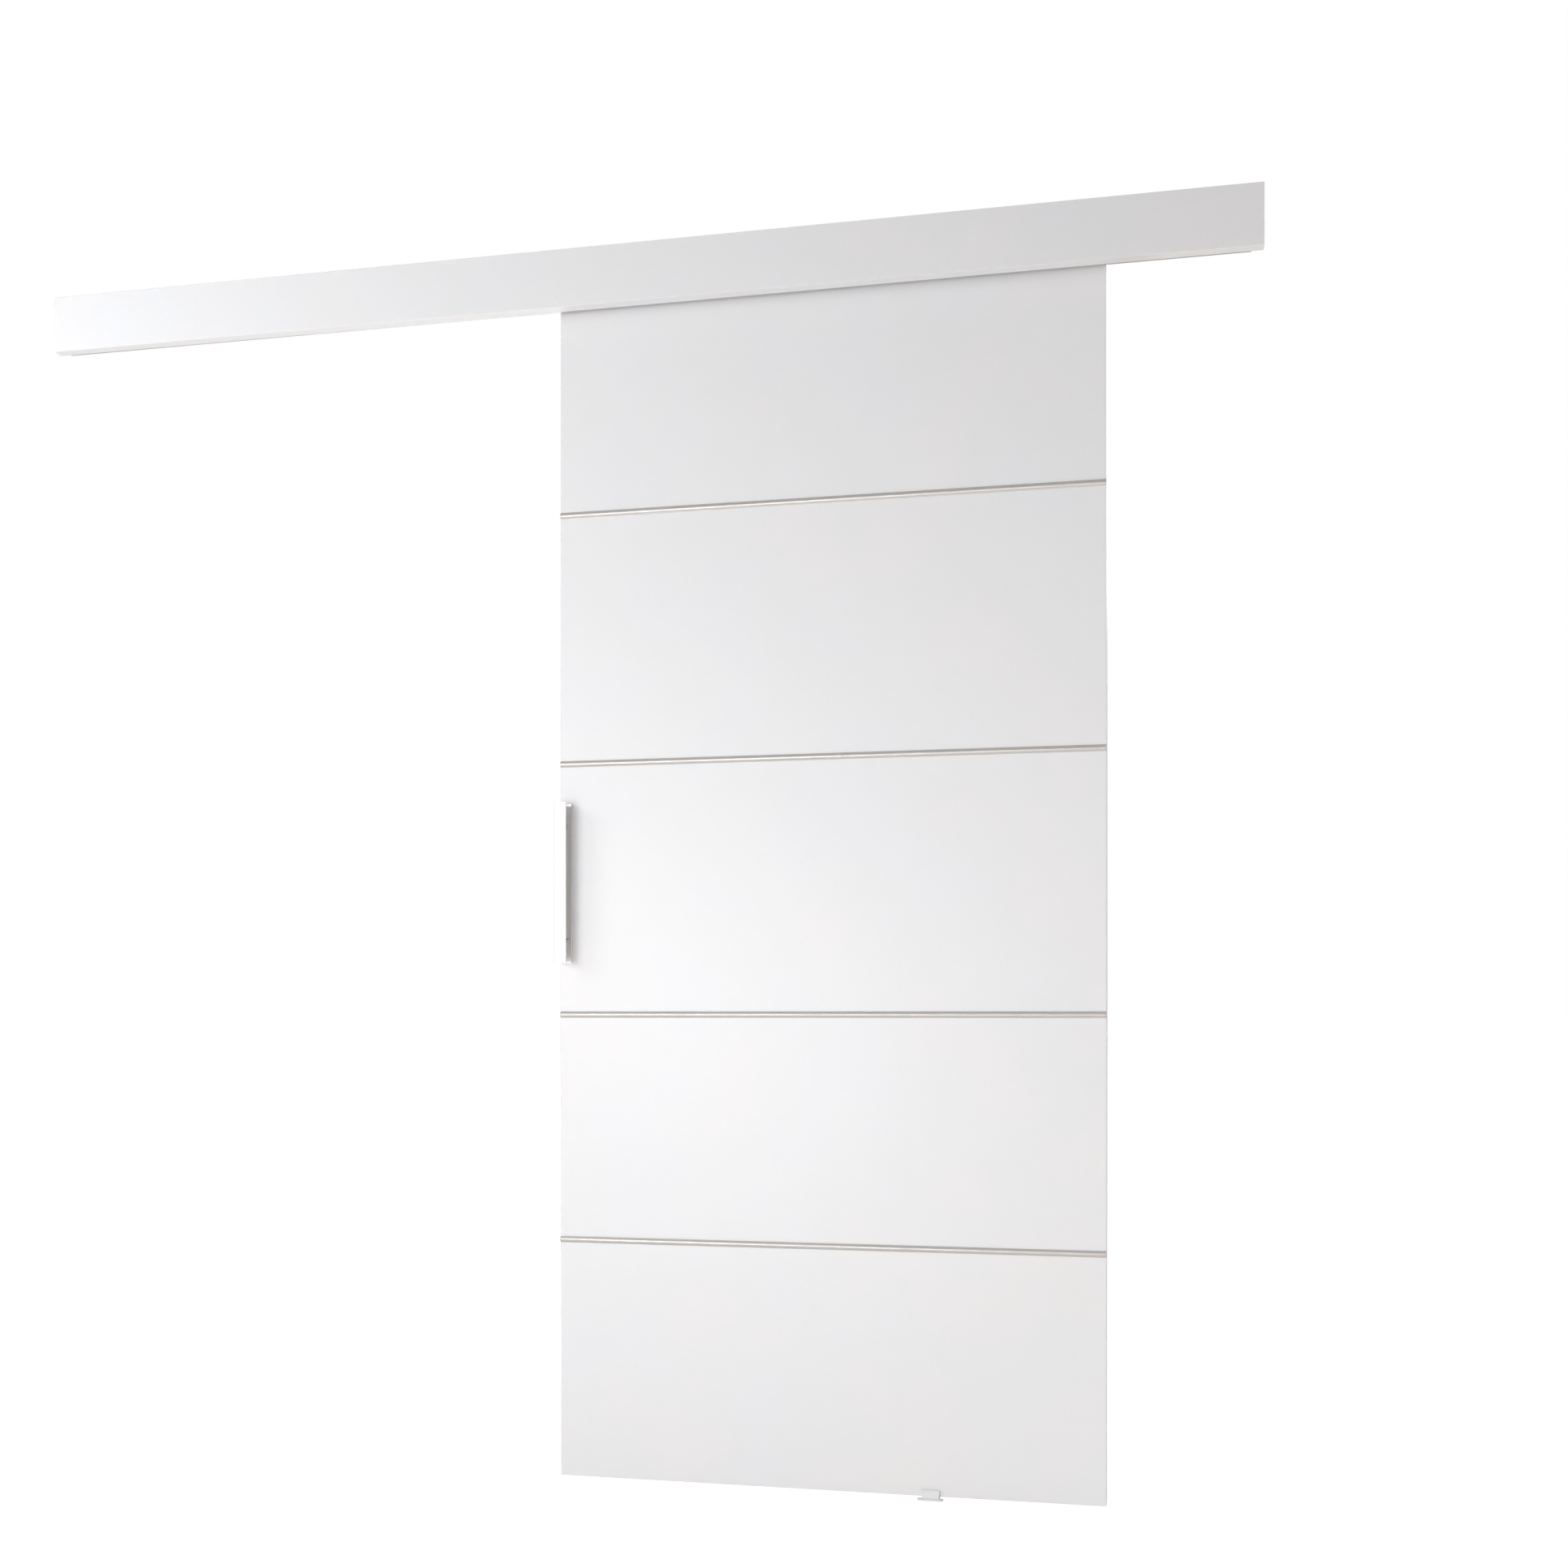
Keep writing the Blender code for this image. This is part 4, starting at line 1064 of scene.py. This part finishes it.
# %% [markdown]
# ## Screws
# A screw head is small, but it is where the eye checks whether a thing is real. The head is turned as a
# low dome, a cross recess is cut with two tapered blades, and the shank gets a true helical ridge. The
# ridge is a lathe ring whose radius rises and falls with both height and angle, so the crest climbs as
# it goes round.


# %% A threaded shank
def threaded(bm, matrix, top, bottom, crest, root, pitch, tip=0.0, steps=20, per_turn=6):
    """A helical ridge from top down to bottom, and a point of length tip below it."""
    count = max(4, int(per_turn * (top - bottom) / pitch))
    rings = []
    for k in range(count + 1):
        level = top + (bottom - top) * k / count
        ring = []
        for i in range(steps):
            share = i / steps
            phase = (level / pitch - share) % 1.0
            ridge = max(0.0, 1.0 - abs(phase - 0.5) * 3.2)
            fade = min(1.0, 3 * k / count, 3 * (count - k) / count)
            radius = root + (crest - root) * ridge * fade
            angle = 2 * math.pi * share
            spot = Vector((radius * math.cos(angle), radius * math.sin(angle), level))
            ring.append(bm.verts.new(matrix @ spot))
        rings.append(ring)
    for upper, lower in zip(rings, rings[1:]):
        for i in range(steps):
            j = (i + 1) % steps
            bm.faces.new((upper[i], lower[i], lower[j], upper[j]))
    end = bm.verts.new(matrix @ Vector((0, 0, bottom - tip)))
    for i in range(steps):
        bm.faces.new((rings[-1][i], end, rings[-1][(i + 1) % steps]))
    return rings[0]


# %% A cross-head screw
ROOT_SHARE = 0.72  # the thread's root as a share of its crest


def cross_head_screw(node, facing, head_height, shank, pitch=None, tip=3 * MM):
    """Head radius and overall length come from the node's own box."""
    low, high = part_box(node)
    size = high - low
    axis = 1 if facing in ("front", "back") else 2
    sign = 1 if facing in ("back", "up") else -1
    centre = (low + high) / 2
    head_end = high[axis] if sign > 0 else low[axis]
    seat = centre.copy()
    seat[axis] = head_end - sign * head_height
    radius = size[0] / 2
    length = size[axis] - head_height
    matrix = at(seat, facing)
    bm = bmesh.new()
    dome = [(0, head_height)] + [
        (radius * math.sin(math.radians(a)), head_height * (0.45 + 0.55 * math.cos(math.radians(a))))
        for a in (15, 30, 45, 60, 75, 90)
    ]
    profile = dome + [(radius, 0.12 * head_height), (radius * 0.94, 0), (shank * 0.96, 0)]
    if pitch is None:
        profile += [(shank * 0.96, -(length - tip)), (0, -length)]
        turn(bm, profile, matrix, 32)
    else:
        root = shank * ROOT_SHARE
        turn(bm, profile[:-1] + [(root, 0), (root, -0.4 * MM), (0, -0.4 * MM)], matrix, 32)
    made = piece_from(node.replace("screw", "fixing"), bm, SLOT_OF[node])
    if pitch is not None:
        def shank_shape(tool):
            ring = threaded(tool, matrix, -0.05 * MM, -(length - tip), shank, root, pitch, tip)
            tool.faces.new(ring)

        carve(made, shank_shape, "UNION")
    blade = radius * 0.62
    thick = radius * 0.13
    deep = head_height * 0.7

    for turned in (0, 90):
        carve(made, lambda tool, a=turned: blade_tool(tool, matrix, a, blade, thick, head_height, deep))
    smooth(made, 28)
    stand_for(made, node)


def blade_tool(tool, matrix, turned, blade, thick, head_height, deep):
    """One tapered blade of the cross recess."""
    spin = matrix @ Matrix.Rotation(math.radians(turned), 4, "Z")
    bmesh.ops.create_cube(tool, size=2.0)
    for vert in tool.verts:
        high_side = vert.co.z > 0
        reach = blade if high_side else blade * 0.45
        level = head_height * 1.1 if high_side else head_height - deep
        vert.co = spin @ Vector((vert.co.x * reach, vert.co.y * thick, level))


for i in range(1, 5):
    cross_head_screw(f"wall_screw_{i}", "front", 2.8 * MM, 2.5 * MM, 2.4 * MM, 6 * MM)
for i in (1, 2):
    cross_head_screw(f"rail_screw_{i}", "down", 2.4 * MM, 2.0 * MM, None, 0.6 * MM)
    cross_head_screw(f"handle_screw_{i}", "front", 2.4 * MM, 2.0 * MM)
for i in (1, 2, 3):
    cross_head_screw(f"fascia_screw_{i}", "back", 2.2 * MM, 2.0 * MM)
for i in range(1, 5):
    cross_head_screw(f"plate_screw_{i}", "up", 1.8 * MM, 2.2 * MM)
cross_head_screw("guide_screw", "up", 2.0 * MM, 2.0 * MM)
print("screws done")

# %% [markdown]
# ## The floor guide
# A small moulding of white plastic: a flat foot and two tabs that the leaf's lower edge runs between.
# The foot is wide under each tab and narrow under the leaf. The tabs lean outward at the top, so that
# the leaf finds its way in. Each tab has a slightly narrower neck below the leaf, and every edge is
# softened, as a mould needs.

# %% Foot and tabs
FOOT_THICK = 3.0 * MM
TAB_THICK = 3.0 * MM
TAB_AIR = 1.0 * MM
TAB_WIDTH = 31 * MM
NECK_WIDTH = 28.6 * MM
TAB_STRAIGHT = 12.6 * MM
TAB_LEAN = 1.5 * MM
guide_x = (guide_low.x + guide_high.x) / 2
TAB_TOP = guide_high.z

FLANGE = 10.5 * MM
FLANGE_CORNER = 4 * MM
WEB_HALF = 14.3 * MM


def foot_outline():
    """Seen from above: a wide flange under each tab, joined by a web under the leaf."""
    middle = (guide_low.y + guide_high.y) / 2
    half = (guide_high.x - guide_low.x) / 2
    deep = (guide_high.y - guide_low.y) / 2
    x = half - FLANGE_CORNER
    y = deep - FLANGE_CORNER
    inner = deep - FLANGE
    points = (
        arc((x, y), FLANGE_CORNER, 0, 90, 8) + arc((-x, y), FLANGE_CORNER, 90, 180, 8)
        + [(-half, inner), (-WEB_HALF, inner), (-WEB_HALF, -inner), (-half, -inner)]
        + arc((-x, -y), FLANGE_CORNER, 180, 270, 8) + arc((x, -y), FLANGE_CORNER, 270, 360, 8)
        + [(half, -inner), (WEB_HALF, -inner), (WEB_HALF, inner), (half, inner)]
    )
    return [(guide_x + u, middle + v) for u, v in points]


bm = bmesh.new()
press_out(bm, foot_outline(), "z", guide_low.z, guide_low.z + FOOT_THICK)
guide = piece_from("leaf_guide", bm, "white_plastic")
round_edges(guide, 0.8 * MM, 3, 40)


def tab_tool(face, out):
    """Seen from the end: upright, then leaning away from the leaf."""
    straight = FLOOR + TAB_STRAIGHT
    section = [
        (face, FLOOR + 1 * MM), (face + out * TAB_THICK, FLOOR + 1 * MM),
        (face + out * TAB_THICK, straight),
        (face + out * (TAB_THICK + 0.6 * TAB_LEAN), TAB_TOP - 0.9 * MM),
        (face + out * (TAB_THICK - 0.2 * MM + 0.5 * TAB_LEAN), TAB_TOP - 0.2 * MM),
        (face + out * (0.5 * TAB_THICK + TAB_LEAN), TAB_TOP),
        (face + out * TAB_LEAN, TAB_TOP - 0.5 * MM), (face, straight),
    ]
    if out > 0:
        section.reverse()

    def build(bm):
        press_out(bm, section, "x", guide_x - TAB_WIDTH / 2, guide_x + TAB_WIDTH / 2)

    return build


def neck_tool(bm):
    """Two blocks that narrow the tabs between the foot and the leaf."""
    for side in (-1, 1):
        inner = guide_x + side * NECK_WIDTH / 2
        outer = guide_x + side * TAB_WIDTH
        low_x, high_x = sorted((inner, outer))
        bar(bm, (low_x, guide_low.y - 1 * MM, FLOOR + FOOT_THICK + 0.4 * MM),
            (high_x, guide_high.y + 1 * MM, LEAF_BOTTOM + 0.3 * MM))


for face, out in ((LEAF_FRONT - TAB_AIR, -1), (LEAF_BACK + TAB_AIR, 1)):
    carve(guide, tab_tool(face, out), "UNION")
carve(guide, neck_tool)
hole = middle_of("guide_screw")
carve(guide, lambda bm: pin(bm, (hole.x, hole.y, FLOOR + 1 * MM), "up", SCREW_HOLE, 8 * MM, 24))
round_edges(guide, 0.5 * MM, 2, 50)
smooth(guide, 35)
stand_for(guide, "floor_guide")

# %% [markdown]
# ## Trolleys, hangers and stops
# These hang in the dark behind the fascia, but they carry the leaf, and they show from behind and from
# above. The trolley is a narrow casting with a boss. A bolt with a chamfered head comes up through the
# plate on the leaf, and a thin nut locks it.

# %% Hexagons with chamfered corners
def hex_blank(bm, matrix, across_corners, low, high, chamfer):
    """A hexagonal prism whose corners are turned off at both ends, as a real bolt head's are."""
    radius = across_corners / 2
    cut = radius * chamfer * 0.5
    rings = []
    for level, share in ((low, 1 - chamfer), (low + cut, 1), (high - cut, 1), (high, 1 - chamfer)):
        spots = [Vector((x * share, y * share, level)) for x, y in arc((0, 0), radius, 0, 300, 5)]
        rings.append([bm.verts.new(matrix @ spot) for spot in spots])
    close_tube(bm, rings)


M8_CORNERS = 15.0 * MM
M8_RADIUS = 4.0 * MM
M8_ROOT = M8_RADIUS * 0.85
M8_PITCH = 1.25 * MM
M8_HOLE = 4.3 * MM

for side in ("left", "right"):
    low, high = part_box(f"hanger_bolt_{side}")
    x = (low.x + high.x) / 2
    bm = bmesh.new()
    hex_blank(bm, at((x, mid_rail, 0)), M8_CORNERS, low.z, LEAF_TOP, 0.07)
    bolt = piece_from(f"m8_bolt_{side}", bm, "zinc_plated_steel")

    def bolt_thread(tool, x=x, high=high):
        bottom = LEAF_TOP - high.z - 1 * MM
        matrix = at((x, mid_rail, high.z))
        tool.faces.new(threaded(tool, matrix, 0.0, bottom, M8_RADIUS, M8_ROOT, M8_PITCH, 0, 28))

    carve(bolt, bolt_thread, "UNION")
    smooth(bolt, 28)
    stand_for(bolt, f"hanger_bolt_{side}")
    low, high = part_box(f"lock_nut_{side}")
    bm = bmesh.new()
    hex_blank(bm, at((x, mid_rail, 0)), M8_CORNERS, low.z, high.z, 0.07)
    nut = piece_from(f"m8_nut_{side}", bm, "zinc_plated_steel")
    carve(nut, lambda tool, x=x, z=low.z: pin(tool, (x, mid_rail, z), "up", M8_HOLE, 30 * MM))
    smooth(nut, 28)
    stand_for(nut, f"lock_nut_{side}")

# %% Hanger plates
KEYHOLE_LENGTH = 14 * MM
PLATE_HOLE = 2.5 * MM
PLATE_HOLE_REACH = 32 * MM

for side in ("left", "right"):
    low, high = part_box(f"hanger_plate_{side}")
    centre = (low + high) / 2
    bm = bmesh.new()
    outline = rounded_box((centre.x, centre.y), high.x - low.x, high.y - low.y, 4 * MM)
    press_out(bm, outline, "z", low.z, high.z)
    plate = piece_from(f"leaf_plate_{side}", bm, "zinc_casting")
    keyhole = arc((centre.x, centre.y), M8_HOLE, 90, 270, 14)
    keyhole += arc((centre.x + KEYHOLE_LENGTH, centre.y), M8_HOLE, -90, 90, 14)

    def plate_holes(tool, centre=centre, keyhole=keyhole):
        press_out(tool, keyhole, "z", centre.z - 5 * MM, centre.z + 5 * MM)
        for reach in (-PLATE_HOLE_REACH, PLATE_HOLE_REACH):
            pin(tool, (centre.x + reach, centre.y, centre.z), "up", PLATE_HOLE, 10 * MM, 24)

    carve(plate, plate_holes)
    round_edges(plate, 0.4 * MM, 2, 60)
    smooth(plate)
    stand_for(plate, f"hanger_plate_{side}")

# %% Trolley bodies
BAR_HALF = 5.0 * MM
BOSS = 9.0 * MM
AXLES = {i: middle_of(f"axle_{i}") for i in range(1, 5)}
TROLLEYS = {"left": (1, 2), "right": (3, 4)}

for side, numbers in TROLLEYS.items():
    low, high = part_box(f"trolley_body_{side}")
    centre = (low + high) / 2
    end = (high.x - low.x) / 2 - BAR_HALF
    shoulder = math.degrees(math.asin((BAR_HALF + 0.3 * MM) / BOSS))
    outline = (
        arc((end, 0), BAR_HALF, -90, 90, 14) + arc((0, 0), BOSS, shoulder, 180 - shoulder, 18)
        + arc((-end, 0), BAR_HALF, 90, 270, 14) + arc((0, 0), BOSS, 180 + shoulder, 360 - shoulder, 18)
    )
    bm = bmesh.new()
    press_out(bm, [(centre.x + x, centre.y + y) for x, y in outline], "z", low.z, high.z)
    body = piece_from(f"trolley_casting_{side}", bm, "zinc_casting")
    round_edges(body, 0.8 * MM, 3, 50)
    carve(body, lambda tool, c=centre: pin(tool, c, "up", M8_HOLE, 60 * MM))
    for number in numbers:
        carve(body, lambda tool, c=AXLES[number]: pin(tool, c, "front", WIDE_HOLE, 40 * MM))
    smooth(body)
    stand_for(body, f"trolley_body_{side}")

# %% [markdown]
# ### Wheels and axles
# A trolley wheel is turned from one profile: a hub, a thin recessed web and a rim whose tread is very
# slightly crowned, so that it runs on the middle of the lip. The profile is drawn for one side and
# mirrored.

# %% Turned wheels
WHEEL_STEPS = 64
AXLE_RADIUS = 2.5 * MM

for number, centre in AXLES.items():
    low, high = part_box(f"axle_{number}")
    reach = (high.y - low.y) / 2
    bm = bmesh.new()
    half_axle = [
        (0, reach), (AXLE_RADIUS - 0.4 * MM, reach), (AXLE_RADIUS - 0.1 * MM, reach - 0.15 * MM),
        (AXLE_RADIUS, reach - 0.5 * MM),
    ]
    turn(bm, half_axle + [(r, -h) for r, h in reversed(half_axle)], at(centre, "front"), 40)
    stand_for(smooth(piece_from(f"wheel_axle_{number}", bm, "zinc_plated_steel")), f"axle_{number}")
    for place in ("front", "rear"):
        node = f"wheel_{number}_{place}"
        low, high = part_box(node)
        half = (high.y - low.y) / 2
        outer = (high.x - low.x) / 2
        middle_y = (low.y + high.y) / 2
        side_profile = [
            (2.8 * MM, half - 0.2 * MM), (3.0 * MM, half), (4.9 * MM, half), (5.2 * MM, half - 0.25 * MM),
            (5.4 * MM, half - 1.1 * MM), (5.8 * MM, half - 1.3 * MM), (7.6 * MM, half - 1.3 * MM),
            (8.0 * MM, half - 1.1 * MM), (8.3 * MM, half - 0.2 * MM), (8.6 * MM, half),
            (outer - 0.7 * MM, half), (outer - 0.25 * MM, half - 0.2 * MM),
            (outer - 0.06 * MM, half - 0.7 * MM), (outer, half - 1.6 * MM),
        ]
        profile = side_profile + [(r, -h) for r, h in reversed(side_profile)]
        bm = bmesh.new()
        turn(bm, profile, at((centre.x, middle_y, centre.z), "front"), WHEEL_STEPS, closed=True)
        stand_for(smooth(piece_from(f"nylon_wheel_{number}_{place}", bm, "white_nylon")), node)
print("wheels", 2 * len(AXLES), "of", round(2 * outer / MM, 1), "mm")

# %% Stop blocks, buffers and socket screws
SINK_RADIUS = 4.5 * MM
STUD_HOLE = 3.0 * MM
SOCKET_CORNERS = 4.6 * MM

for side, facing in (("left", 1), ("right", -1)):
    low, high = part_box(f"stop_block_{side}")
    centre = (low + high) / 2
    screw_low, screw_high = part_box(f"stop_screw_{side}")
    bm = bmesh.new()
    bar(bm, low, high)
    block = piece_from(f"end_stop_{side}", bm, "zinc_casting")
    round_edges(block, 1.0 * MM, 3)
    face = high.x if facing > 0 else low.x
    axle_height = AXLES[1].z
    carve(block, lambda tool, c=centre: pin(tool, c, "up", WIDE_HOLE, 60 * MM))
    carve(block, lambda tool, c=centre, z=low.z: pin(tool, (c.x, c.y, z), "up", SINK_RADIUS, 17 * MM))
    stud = (face, centre.y, axle_height)
    carve(block, lambda tool, place=stud: pin(tool, place, "right", STUD_HOLE, 20.6 * MM))
    smooth(block)
    stand_for(block, f"stop_block_{side}")
    head = 8 * MM
    rubber = [(0, head), (3.2 * MM, head), (5.2 * MM, head - 0.5 * MM), (6.4 * MM, head - 1.8 * MM),
              (6.9 * MM, head - 4 * MM), (7.2 * MM, 1.2 * MM), (7.0 * MM, GAP), (2.7 * MM, GAP),
              (2.7 * MM, -9.5 * MM), (2.2 * MM, -10 * MM), (0, -10 * MM)]
    bm = bmesh.new()
    turn(bm, rubber, at(stud, "right" if facing > 0 else "left"), 48)
    stand_for(smooth(piece_from(f"rubber_buffer_{side}", bm, "black_rubber")), f"stop_buffer_{side}")
    seat = screw_low.z + 5 * MM
    bm = bmesh.new()
    end = -(screw_high.z - seat)
    head_profile = [(0, 5 * MM), (3.9 * MM, 5 * MM), (4.2 * MM, 4.7 * MM), (4.2 * MM, 0), (2.4 * MM, 0),
                    (2.4 * MM, end + 0.5 * MM), (2.0 * MM, end), (0, end)]
    turn(bm, head_profile, at((centre.x, centre.y, seat), "down"), 40)
    socket = piece_from(f"socket_screw_{side}", bm, "zinc_plated_steel")
    mouth = at((centre.x, centre.y, screw_low.z))
    carve(socket, lambda tool, m=mouth: hex_blank(tool, m, SOCKET_CORNERS, -1 * MM, 2.6 * MM, 0.02))
    smooth(socket)
    stand_for(socket, f"stop_screw_{side}")

# %% [markdown]
# ## The end
# The dressed model has to stay inside the working model's box. The view layer is brought up to date
# before the scene is closed.

# %% Finish
bpy.context.view_layer.update()
